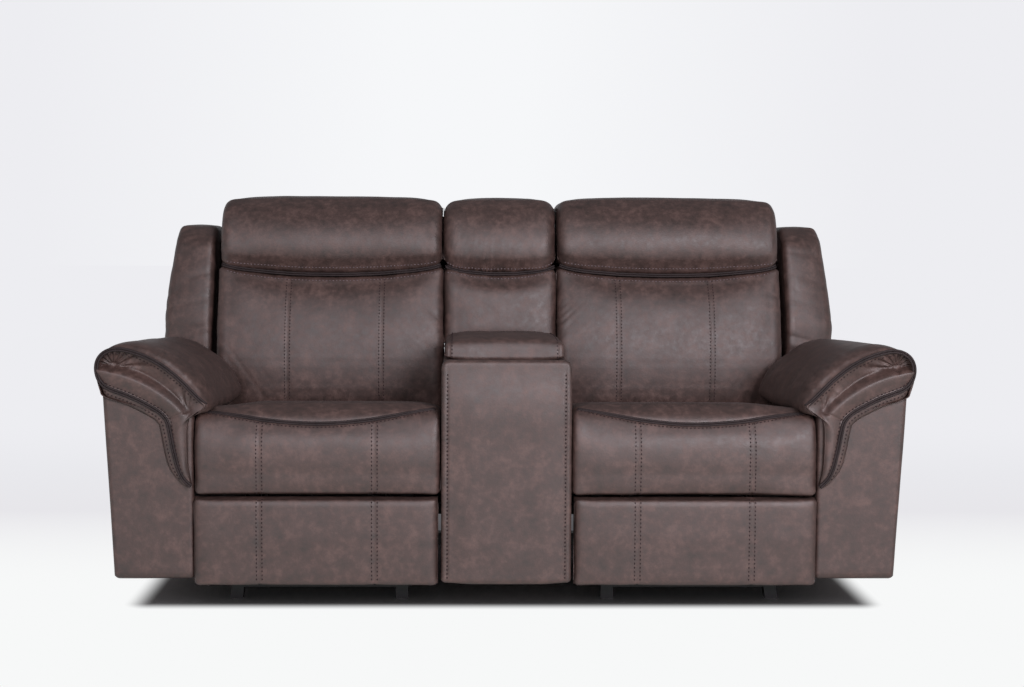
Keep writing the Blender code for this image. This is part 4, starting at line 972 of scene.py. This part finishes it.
# Below this height, at each distance from the middle, the pillow is sewn down.
PILLOW_SEWN = ([0.66, 0.70, 0.735, 0.93], [0.470, 0.468, 0.460, 0.505])
PIPING_Y = -0.4805
PILLOW_ROLL = 0.062         # the pillow rises to its full height this far behind the piping
PILLOW_REAR = 0.070
PILLOW_LAP = 0.046          # its outer half reaches further back by this
PILLOW_SLOPE = 0.026        # the pillow's crest falls by this towards its rear
PILLOW_DROOP = 0.016        # its inner foot falls by this, as the seat beside it does
CROSS_SEAM = 0.62           # place of the short seam across the band, as a share of its length
BAND_FOLD = 0.43            # place of the fold along the band, as a share of its width from the upper piping
BAND_LENGTH, BAND_WIDTH = 0.55, 0.105
BAND_FACE, BAND_REAR = 18, 5
LIP_WIDTH, LIP_FACE, LIP_REAR = 0.025, 7, 4
# Where the band's gathers meet: (place, reach, depth, number of gathers in a full turn).
GATHERS = [((0.9164, 0.5704), 0.050, 0.0048, 15), ((0.7446, 0.4688), 0.036, 0.0034, 13)]
FORWARD = np.array([0.0, -1.0, 0.0])


def pillow_grid(columns=66, reach=0.034):
    """Rows along Y from the piped front to the rounded rear, which reaches further back on the outside."""
    front, full = spline(PILLOW_FRONT, columns, True), spline(PILLOW_FULL, columns, True)
    rows = []
    middle = full.mean(axis=0)
    for angle in np.linspace(0.0, math.pi / 2, 9):
        y = PIPING_Y + PILLOW_ROLL * (1 - math.cos(angle))
        rows.append((y, front + (full - front) * math.sin(angle)))
    count = round((PILLOW_REAR - reach - rows[-1][0]) / COVER_SPACING)
    for y in np.linspace(rows[-1][0], PILLOW_REAR - reach, count)[1:]:
        rows.append((y, full))
    for angle in np.linspace(0.0, math.pi / 2, 5)[1:]:
        shrink = 1.0 - 0.34 * (1 - math.cos(angle))
        rows.append((PILLOW_REAR - reach + reach * math.sin(angle), middle + (full - middle) * shrink))
    grid = []
    for y, section in rows:
        outside = smooth(section[:, 0], 0.765, 0.825)
        lap = outside * PILLOW_LAP * smooth(y, -0.2, PILLOW_REAR)
        fall = PILLOW_SLOPE * np.clip((y + 0.42) / 0.47, 0, 1) * np.clip((section[:, 1] - 0.47) / 0.16, 0, 1)
        inner_foot = (1.0 - smooth(section[:, 1], 0.46, 0.55)) * (1.0 - smooth(section[:, 0], 0.71, 0.76))
        fall = fall + PILLOW_DROOP * smooth(y, -0.42, -0.10) * inner_foot
        grid.append(np.stack([section[:, 0], y + lap, section[:, 1] - fall], axis=1))
    for ring, first, sink in ((grid[0], True, 0.036), (grid[-1], False, 0.0)):
        tip = ring.mean(axis=0)
        caps = [tip + (ring - tip) * t for t in (0.0, 0.5, 0.92)]
        for cap in caps:
            cap[:, 1] += sink
        grid = caps + grid if first else grid + caps[::-1]
    grid = np.array(grid)
    sewn = np.zeros(grid.shape[:2], bool)
    sewn[:4] = True
    sewn[-4:] = True
    sewn[:, full[:, 1] < np.interp(full[:, 0], *PILLOW_SEWN)] = True
    return Cover(grid, 1.0, 0.010, sewn, (0.6, 0.2, 1.0))


def band_lines(count):
    """The band's two edges from its hairpin end to its lower tip, matched row by row."""
    split = round(count * CROSS_SEAM)
    upper = np.concatenate([spline(UPPER_PIPING, split + 1)[:-1], spline(INNER_EDGE, count - split)])
    lower = np.concatenate([spline(LOWER_PIPING, split + 1)[:-1], spline(LOWER_TAIL, count - split)])
    return upper, lower


def front_cover(face, depth, behind, back):
    """A cover on the front of an arm: a padded face, and a flat rear behind it."""
    front_points = np.stack([face[..., 0], arm_low[1] - depth, face[..., 1]], axis=2)
    rear = np.full(behind.shape[:2], arm_low[1] + back)
    grid = np.concatenate([front_points, np.stack([behind[..., 0], rear, behind[..., 1]], axis=2)], axis=1)
    for row in (0, -1):
        grid[row] = grid[row].mean(axis=0)
    return Cover(grid, np.concatenate([np.ones(face.shape[1]), np.zeros(behind.shape[1])]))


def band_grid(rows=64):
    """The padded band: its upper half falls back to a deep fold, its lower half swells forward as a roll."""
    upper, lower = band_lines(rows)
    length = np.linspace(0.0, 1.0, rows)[:, None]
    v = np.linspace(0.0, 1.0, BAND_FACE)[None]
    deep = 0.0030 - 0.0085 * (1.0 - smooth(length, 0.28, 0.50))
    fall = 0.0135 + (deep - 0.0135) * np.sin(np.clip(v / BAND_FOLD, 0, 1) * math.pi / 2)
    swell = np.clip((v - BAND_FOLD) / (1 - BAND_FOLD), 0, 1)
    step = np.sin(np.clip(swell * 3.0, 0, 1) * math.pi / 2)
    rise = deep + (0.0205 - deep) * step - 0.0085 * smooth(swell, 0.3, 1.0)
    folded = np.where(v < BAND_FOLD, fall, rise)
    plain = 0.0115 + 0.0080 * np.sin(v * math.pi) ** 0.8
    tail = smooth(length, CROSS_SEAM - 0.04, CROSS_SEAM + 0.07) + (1.0 - smooth(length, 0.02, 0.085))
    tail = np.clip(tail, 0, 1)
    depth = folded * (1 - tail) + plain * tail
    wide = smooth(np.linalg.norm(upper - lower, axis=1)[:, None], 0.0, 0.030)
    depth = depth * wide + 0.0095 * (1 - wide)
    w = np.linspace(1.0, 0.0, BAND_REAR)[None]
    face, behind = (upper[:, None] * (1 - t[..., None]) + lower[:, None] * t[..., None] for t in (v, w))
    return front_cover(face, depth, behind, 0.030)


def lip_grid(rows=56):
    """The padded lip below the lower piping, which rolls back to the flat panel."""
    line = np.concatenate([spline(LOWER_PIPING[1:], 40)[:-1], spline(LOWER_TAIL, rows - 39)])
    way = unit(np.gradient(line, axis=0))
    outward = np.stack([-way[:, 1], way[:, 0]], axis=1)
    ends = np.linspace(0.0, 1.0, rows)
    reach = LIP_WIDTH * (0.16 + 0.84 * smooth(ends, 0.03, 0.15)) * (1.0 - 0.55 * smooth(ends, 0.86, 1.0))
    v = np.linspace(0.0, 1.0, LIP_FACE)[None]
    w = np.linspace(0.9, 0.0, LIP_REAR)[None]
    face, behind = (line[:, None] + outward[:, None] * reach[:, None, None] * t[..., None] for t in (v, w))
    depth = 0.0110 * np.sqrt(np.clip(1.0 - v ** 2.4, 0, 1)) - 0.0020 * smooth(v, 0.75, 1.0)
    return front_cover(face, np.broadcast_to(depth, face.shape[:2]), behind, 0.004)


def arm_outer(z):
    """Place of the arm's slanted outer face at a height."""
    return arm_high[0] - ARM_FLARE * (arm_high[2] - z) / (arm_high[2] - arm_low[2])


def box_grid(edge=0.010, pillow_foot=0.507, ends=26):
    """The arm's upholstered box: flat panels with rounded edges, its rear stepped down under the back."""
    top, foot = arm_high[2], arm_low[2] - ARM_DROP
    front, rear = arm_low[1], arm_high[1]
    corners = [(front, foot, 0.012, 1.0), (front, pillow_foot, edge, 1.0), (0.035, pillow_foot, edge, 1.0),
               (0.050, top, edge, 1.0), (0.080, top, edge, 1.0), (0.100, 0.345, edge, 1.0),
               (0.330, 0.165, 0.020, 1.0), (rear, 0.165, edge, 1.0), (rear, foot, 0.012, 1.0)]
    points, soft = loft(corners, 0.0, 1.0, edge, (-0.10, 0.15), rings=16)
    inner = arm_low[0] + 0.0003
    width = arm_outer(points[..., 2]) - inner
    place = points[..., 0]
    near = np.minimum(place, 1.0 - place)
    flat = edge / width + (near - edge) / (1.0 - 2 * edge) * (1 - 2 * edge / width)
    share = np.where(near < edge, near / width, flat)
    points[..., 0] = inner + width * np.where(place > 0.5, 1.0 - share, share)
    last = len(points) - ends
    rows = np.concatenate([np.arange(ends), np.linspace(ends, last - 1, 16), np.arange(last, len(points))])
    return Cover(points[np.unique(np.round(rows).astype(int))], soft)


pillow_cover = pillow_grid()
band_cover = band_grid()
lip_cover = lip_grid()
box_cover = box_grid()


def shape_pillow(seed):
    """The arm's pillow: gathers behind its piping, cross folds along its inner foot."""
    pillow = pillow_cover.refined()
    x, z = pillow.home[..., 0], pillow.home[..., 2]
    around = around_of(pillow)
    behind = pillow.home[..., 1] - PIPING_Y
    height = dents(around, behind, seed + 11, 0.0018)
    gathers = wrinkles(PILLOW_GATHERS, around, behind + 0.2 * around, seed + 13, behind)
    height += gathers * smooth(behind, 0.002, 0.016) * smooth(0.86 - x, 0.0, 0.08)
    height += 0.0042 * folds(behind, around, 0.040, 0.12, seed + 15) * smooth(0.74 - x, 0.0, 0.06)
    height -= 0.0030 * ridge(behind - 0.004, 0.006)
    pillow.raise_by(height * smooth(z, 0.48, 0.53))
    return pillow


def shape_band(seed):
    """The arm's front band, gathered towards where it is pinched, and the last column of its face."""
    band = band_cover.refined()
    count = band.home.shape[1]
    edge = round(count * BAND_FACE / (BAND_FACE + BAND_REAR)) - 1
    t = np.linspace(0.0, 1.0, len(band.home))[:, None]
    v = np.clip(np.arange(count) / edge, 0, 1)[None]
    length = t * BAND_LENGTH
    along = smooth(t, 0.03, 0.08) * (1 - smooth(t, CROSS_SEAM - 0.06, CROSS_SEAM))
    upper_half = smooth(BAND_FOLD - v, 0.0, 0.05) * along * smooth(v, 0.0, 0.10)
    height = 0.0020 * folds(length + 0.015 * v, v, 0.011, 0.9, seed + 21) * upper_half
    for (pinch_x, pinch_z), reach, depth, number in GATHERS:
        aside, up = band.home[..., 0] - pinch_x, band.home[..., 2] - pinch_z
        away, angle = np.hypot(aside, up), np.arctan2(up, aside)
        rays = np.cos(number * angle + 2.0 * clouds(away, angle * 0.05, 0.05, 0.05, seed + 25))
        height += depth * rays * np.exp(-away / reach) * smooth(away, 0.003, 0.014) * upper_half
        height -= 1.2 * depth * ridge(away, 0.009)
    height -= 0.0022 * ridge(t - CROSS_SEAM, 0.006) * smooth(v, 0.44, 0.50)
    height += dents(length, v * 0.1, seed + 23, 0.0010) * np.sin(np.pi * v)
    band.raise_by(height * smooth(band.soft, 0.5, 0.95))
    return band, edge


def arm_rows(pillow, band, edge, lip):
    """Stitch rows along an arm's piping: two on the band, one on the lip and one on the pillow."""
    upper = np.linspace(3.0, (len(band.home) - 1) * CROSS_SEAM - 3.0, 150)
    lower = np.linspace(5.0, len(band.home) - 16.0, 200)
    wide = np.linalg.norm(band.points[:, 0] - band.points[:, edge], axis=1)
    inset = PIPING_ROW / np.maximum(np.interp(lower, np.arange(len(wide)), wide), 0.02) * edge
    lip_column = PIPING_ROW / LIP_WIDTH * (LIP_FACE * REFINE - 1)
    start, end = pillow.column_at((0.945, 0.560), (0, 2)), pillow.column_at((0.72, 0.565), (0, 2))
    pillow_row = np.interp(PIPING_Y + 0.010, pillow.home[:, start, 1], np.arange(len(pillow.home)))
    return [band.on_surface(upper, PIPING_ROW / BAND_WIDTH * edge),
            band.on_surface(lower, edge - inset),
            lip.on_surface(np.linspace(4.0, len(lip.home) - 10.0, 200), lip_column),
            pillow.on_surface(pillow_row, start + (end - start) * np.linspace(0.0, 1.0, 140))]


def make_arm(side):
    """An arm: box, pillow top, gathered front band with its lip, hairpin piping and stitch rows."""
    name, seed = side_name(side), 300 + side
    box = Cover(box_cover.home, box_cover.soft)
    x, y, z = (box.home[..., k] for k in range(3))
    box.raise_by(dents(y + x, z, seed, 0.0008))
    show("arm_panel_box_" + name, box, side, "frame", ["arm_box_" + name])
    pillow = shape_pillow(seed)
    show("arm_pillow_cover_" + name, pillow, side, "frame", ["arm_pillow_" + name])
    band, edge = shape_band(seed)
    lip = lip_cover.refined()
    bands = joined_mesh("arm_band_cover_" + name, [cover.points * mirror(side) for cover in (band, lip)])
    add_piece("arm_band_cover_" + name, bands, brown_leather, "frame", ["arm_band_" + name])
    lower = np.concatenate([spline(LOWER_PIPING, 70)[:-1], spline(LOWER_TAIL, 40)])
    line = np.concatenate([lower[::-1], spline(UPPER_PIPING, 90)[1:]])
    y = PIPING_Y - 0.0035 + 0.006 * smooth(np.linspace(0.0, 1.0, len(line)), 0.975, 1.0)
    points = np.stack([line[:, 0], y, line[:, 1]], axis=1)
    facing = np.broadcast_to(FORWARD, points.shape)
    double_piping("arm_piping_" + name, [sided((points, facing), side)], "frame")
    rows = [sided(row, side) for row in arm_rows(pillow, band, edge, lip)]
    stitch_rows("arm_stitches_" + name, rows, "frame")


def make_console_panel(edge_row=0.0145):
    """The console's padded front: rounded top corners and a single row of stitches inside its edge."""
    low, high = np.array(panel_low) - (0.0, 0.0, FRONT_DROP), np.array(panel_high) + (0.0, 0.0, 0.003)
    corners = [(low[0], low[2], 0.009, 1.0), (low[0], high[2], 0.021, 1.0), (high[0], high[2], 0.021, 1.0),
               (high[0], low[2], 0.009, 1.0)]

    def lean(z):
        """How far the panel leans back at a height."""
        return 0.010 * smooth(z, 0.44, 0.60)

    points, soft = loft(corners, low[1] + 0.002, high[1], 0.010, (0.0, (low[2] + high[2]) / 2), rings=22)
    points[..., 0] += lean(points[..., 2])
    cover = Cover(points[..., [1, 0, 2]], soft).refined()
    x, z = cover.home[..., 0], cover.home[..., 2]
    face = 1.0 - smooth(cover.home[..., 1], low[1] + 0.004, low[1] + 0.016)
    edge = high[0] - np.abs(x)
    height = 0.0045 * smooth(edge, 0.006, 0.075) * smooth(high[2] - z, 0.0, 0.10)
    height += dents(x, z, 251, 0.0010) - 0.0016 * ridge(edge - edge_row, 0.003)
    cover.raise_by(height * face)
    cover.points[:3, :, 1] = cover.points[3, :, 1].mean()
    show("console_front_cover", cover, 1, "frame", ["console_front_pad"])
    heights = np.linspace(low[2] + 0.014, high[2] - 0.034, 160)
    rows = []
    for side in (-1, 1):
        x = np.full(len(heights), side * (high[0] - edge_row))
        points = np.stack([x, low[1] + 0.0016 + lean(heights), heights], axis=1)
        rows.append((points, np.broadcast_to(FORWARD, points.shape)))
    stitch_rows("console_stitches", rows, "frame")


def upholster(name, cover, seed, depth, side, body, node):
    """Shows a slightly uneven panel in place of a frame."""
    cover.raise_by(dents(cover.home[..., 0], cover.home[..., 2], seed, depth) - 0.0008)
    show(name, cover, side, body, [node])


def make_outside_backs():
    """The outside backs: upholstered panels over the back frames, with rounded edges."""
    top = frame_high[2]
    rear = [(0.3345, top, 0.010, 1.0), (0.4595, top, 0.020, 1.0), (0.4875, top - 0.030, 0.020, 1.0)]
    corners = [(0.172, 0.345, 0.008, 1.0), (0.172, 0.4312, 0.008, 1.0), (0.24, 0.4312, 0.0, 1.0)] + rear
    corners += [(0.43, frame_low[2], 0.010, 1.0)]
    start, end = frame_low[0] - 0.0115, frame_high[0]
    points, soft = loft(corners, start, end, 0.008, (0.33, 0.40))
    outer = smooth(points[..., 0], end - 0.10, end)
    inner = 1.0 - smooth(points[..., 0], start, frame_low[0] + 0.10)
    upper = smooth(points[..., 2], 0.84, 0.90)
    for side, inner_taper in ((-1, 0.002), (1, 0.013)):
        name = side_name(side)
        shape = points.copy()
        shape[..., 0] -= (0.018 * outer - inner_taper * inner) * upper
        cover = Cover(shape, soft)
        body, node = "back_" + name, "back_frame_" + name
        upholster("outside_back_" + name, cover, 270 + side, 0.0014, side, body, node)
    low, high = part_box("centre_back_frame")
    foot = low[2] - 0.020
    corners = [(low[1], foot, 0.006, 1.0)] + rear + [(0.456, foot, 0.006, 1.0)]
    points, soft = loft(corners, low[0] - 0.0028, high[0] + 0.0028, 0.008, (0.38, 0.75))
    upholster("outside_back_centre", Cover(points, soft), 277, 0.0012, 1, "frame", "centre_back_frame")


def make_rear_cloths(edge=0.002):
    """The dust cloths at the rear, which reach over to the console."""
    for side in (-1, 1):
        name = side_name(side)
        low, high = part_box("rear_apron_" + name)
        inner = min(abs(low[0]), abs(high[0])) - 0.014
        outer = max(abs(low[0]), abs(high[0]))
        corners = [(low[1], low[2], edge, 1.0), (low[1], high[2], edge, 1.0), (high[1], high[2], edge, 1.0),
                   (high[1], low[2], edge, 1.0)]
        points, _ = loft(corners, inner, outer, edge, ((low[1] + high[1]) / 2, (low[2] + high[2]) / 2))
        mesh = grid_mesh("rear_cloth_" + name, points * mirror(side))
        add_piece("rear_cloth_" + name, mesh, dust_cloth, "frame", ["rear_apron_" + name])


inflate([seat_cover, foot_cover, back_cover, roll_cover, centre_cover, centre_roll, wing_cover, lid_cover,
         pillow_cover])
for side in (-1, 1):
    make_seat(side)
    make_footrest(side)
    make_back(side)
    make_arm(side)
make_centre_back()
make_lid()
make_console_panel()
make_outside_backs()
make_rear_cloths()

finishes = {"leather": brown_leather, "black_steel": black_steel, "chrome": polished_steel,
            "black_plastic": black_plastic, "wood": plywood, "dust_cloth": dust_cloth}
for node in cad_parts.values():
    for place in node.material_slots:
        finish = place.material.name.split(".")[0]
        if finish in finishes:
            place.material = finishes[finish]


def combined(tree, operation, first, second=0.0):
    """A sum, product or other measure of one or two values."""
    return add_node(tree, "ShaderNodeMath", {"operation": operation}, {0: first, 1: second}).outputs["Value"]


def combined_places(tree, operation, first, second=(0.0, 0.0, 0.0)):
    """The same for places; all outputs, as a length has a socket of its own."""
    return add_node(tree, "ShaderNodeVectorMath", {"operation": operation}, {0: first, 1: second}).outputs


def eased(tree, value, low, high, start=0.0, end=1.0):
    """Goes smoothly from start to end as a value goes from low to high."""
    return ranged(tree, value, low, high, start, end, "SMOOTHSTEP")


def seen_directly(tree):
    """1 for rays from the camera, from a mirror or through glass, which see the pale studio itself."""
    path = add_node(tree, "ShaderNodeLightPath").outputs
    mirrored = combined(tree, "MAXIMUM", path["Is Glossy Ray"], path["Is Transmission Ray"])
    return combined(tree, "MAXIMUM", path["Is Camera Ray"], mirrored)


STUDIO_WALL = "#EDEDF1"
STUDIO_LIGHT = "#F4F4F8"
STUDIO_FRONT = "#88888C"      # the room in front of the sofa, which is not lit
LAMP_TONE = "#FFF7FD"         # a faint rose tone of the lamps
FLOOR_REACH = 30.0
FLOOR_TONES = ((0.3, "#F1F1F3"), (0.7, "#F5F5F7"))
FLOOR_GLOW = ((0.0, "#F7F8F8"), (0.25, "#E7E6EA"), (0.6, "#E9E9ED"), (1.0, STUDIO_WALL))
WALL_GLOW = ((0.04, "#F6F7F9"), (0.26, STUDIO_WALL))
# A painted shadow on the floor: a rectangle round the sofa, reaching far behind it, inside which the unlit
# floor shows dark. Only the darkest part right under the sofa is shaded by the sofa itself.
PAINTED_SHADOW_CENTRE = (0.0, 0.17, 0.0)
PAINTED_SHADOW_HALF = (0.84, 0.595, 0.0)
PAINTED_SHADOW_FADE = 0.07
LAMP_TARGET = (0.0, 0.0, 0.5)
# Each softbox, as (name, place, width, height, power).
SOFTBOXES = (("key_softbox", (1.8, -4.4, 2.1), 1.4, 1.5, 185.0),
             ("front_softbox", (-1.1, -4.7, 2.1), 1.3, 1.2, 74.0),
             ("left_softbox", (-3.6, -3.0, 2.4), 2.0, 2.0, 15.0))
EYE = (-0.115, -4.085, 0.9)
EYE_DOWN, EYE_RIGHT, EYE_ROLL = 4.33, 1.0, 0.25       # in degrees
EYE_LENS, EYE_SENSOR, EYE_SHIFT = 54.6, 36.0, 0.0265


def make_floor():
    """A pale floor with a painted shadow: inside a rectangle round the sofa it shows its own shading, which
    no lamp reaches, and further off it glows as pale as the studio wall.
    """
    mesh = bpy.data.meshes.new("studio_floor")
    corners = [(FLOOR_REACH * x, FLOOR_REACH * y, 0) for x, y in ((-1, -1), (1, -1), (1, 1), (-1, 1))]
    mesh.from_pydata(corners, [], [(0, 1, 2, 3)])
    floor = bpy.data.objects.new("studio_floor", mesh)
    bpy.context.scene.collection.objects.link(floor)
    material, tree, shader, place = new_surface("matt_white_floor")
    tree.links.new(ramp(tree, noise(tree, place, 0.8), FLOOR_TONES), shader.inputs["Base Color"])
    shader.inputs["Roughness"].default_value = 0.9
    shader.inputs["Specular IOR Level"].default_value = 0.0
    # Painted shadow: the floor glows only outside the rectangle, so the rectangle's outline draws the
    # shadow's edge.
    middle = combined_places(tree, "SUBTRACT", place, PAINTED_SHADOW_CENTRE)["Vector"]
    spot = combined_places(tree, "ABSOLUTE", middle)["Vector"]
    past = combined_places(tree, "SUBTRACT", spot, PAINTED_SHADOW_HALF)["Vector"]
    outside = combined_places(tree, "MAXIMUM", past)["Vector"]
    away = combined_places(tree, "LENGTH", outside)["Value"]
    depth = add_node(tree, "ShaderNodeSeparateXYZ", inputs={"Vector": place}).outputs["Y"]
    pale = ramp(tree, eased(tree, depth, -0.3, 3.0), FLOOR_GLOW)
    glow = add_node(tree, "ShaderNodeEmission", inputs={"Color": pale, "Strength": 1.0})
    share = combined(tree, "MULTIPLY", eased(tree, away, 0.0, PAINTED_SHADOW_FADE), seen_directly(tree))
    both = add_node(tree, "ShaderNodeMixShader", inputs={
        0: share, 1: shader.outputs["BSDF"], 2: glow.outputs["Emission"]})
    tree.links.new(both.outputs["Shader"], tree.nodes["Material Output"].inputs["Surface"])
    mesh.materials.append(material)
    return floor


def make_world():
    """Soft light from all round, more of it from above; camera and reflections see the pale studio wall."""
    world = bpy.data.worlds.new("studio")
    world.use_nodes = True
    tree = world.node_tree
    tree.nodes.clear()
    way = add_node(tree, "ShaderNodeTexCoord").outputs["Generated"]
    parts = add_node(tree, "ShaderNodeSeparateXYZ", inputs={"Vector": way}).outputs
    level = ranged(tree, parts["Z"], 0.0, 0.6, 0.12, 0.20)
    light = add_node(tree, "ShaderNodeBackground", inputs={
        "Color": hex_colour(STUDIO_LIGHT), "Strength": level})
    glow = ramp(tree, combined(tree, "ABSOLUTE", parts["X"]), WALL_GLOW)
    rear, low = eased(tree, parts["Y"], -0.25, 0.35), eased(tree, parts["Z"], 0.25, 0.50, 1.0, 0.0)
    backdrop = combined(tree, "MULTIPLY", rear, low)
    tone = add_node(tree, "ShaderNodeMix", {"data_type": "RGBA"}, {
        0: backdrop, 6: hex_colour(STUDIO_FRONT), 7: glow}).outputs[2]
    wall = add_node(tree, "ShaderNodeBackground", inputs={"Color": tone, "Strength": 1.0})
    both = add_node(tree, "ShaderNodeMixShader", inputs={
        0: seen_directly(tree), 1: light.outputs["Background"], 2: wall.outputs["Background"]})
    add_node(tree, "ShaderNodeOutputWorld", inputs={"Surface": both.outputs["Shader"]})
    bpy.context.scene.world = world


def add_softbox(name, place, width, height, power, flagged):
    """A rectangular soft light at a place, turned towards the sofa and flagged off from some objects."""
    lamp = bpy.data.lights.new(name, "AREA")
    lamp.shape = "RECTANGLE"
    lamp.size, lamp.size_y = width, height
    lamp.energy = power
    lamp.color = hex_colour(LAMP_TONE)[:3]
    light = bpy.data.objects.new(name, lamp)
    light.location = place
    way = Vector(LAMP_TARGET) - Vector(place)
    light.rotation_euler = way.to_track_quat("-Z", "Y").to_euler()
    light.light_linking.receiver_collection = flagged
    bpy.context.scene.collection.objects.link(light)


def make_camera():
    """The photograph's eye: a little left of the middle, 0.9 m up, looking slightly down and to the right."""
    lens = bpy.data.cameras.new("photo_camera")
    lens.sensor_width = EYE_SENSOR
    lens.lens = EYE_LENS
    lens.shift_x = EYE_SHIFT
    camera = bpy.data.objects.new("photo_camera", lens)
    camera.location = EYE
    camera.rotation_euler = (math.radians(90.0 - EYE_DOWN), 0.0, math.radians(-EYE_RIGHT))
    camera.rotation_euler.rotate_axis("Z", math.radians(EYE_ROLL))
    bpy.context.scene.collection.objects.link(camera)
    bpy.context.scene.camera = camera


# No lamp lights the floor, so inside the painted shadow rectangle it stays dark.
flagged = bpy.data.collections.new("flagged_off")
flagged.objects.link(make_floor())
flagged.collection_objects[0].light_linking.link_state = "EXCLUDE"
make_world()
for softbox in SOFTBOXES:
    add_softbox(*softbox, flagged)
make_camera()
bpy.context.scene.view_settings.view_transform = "Standard"
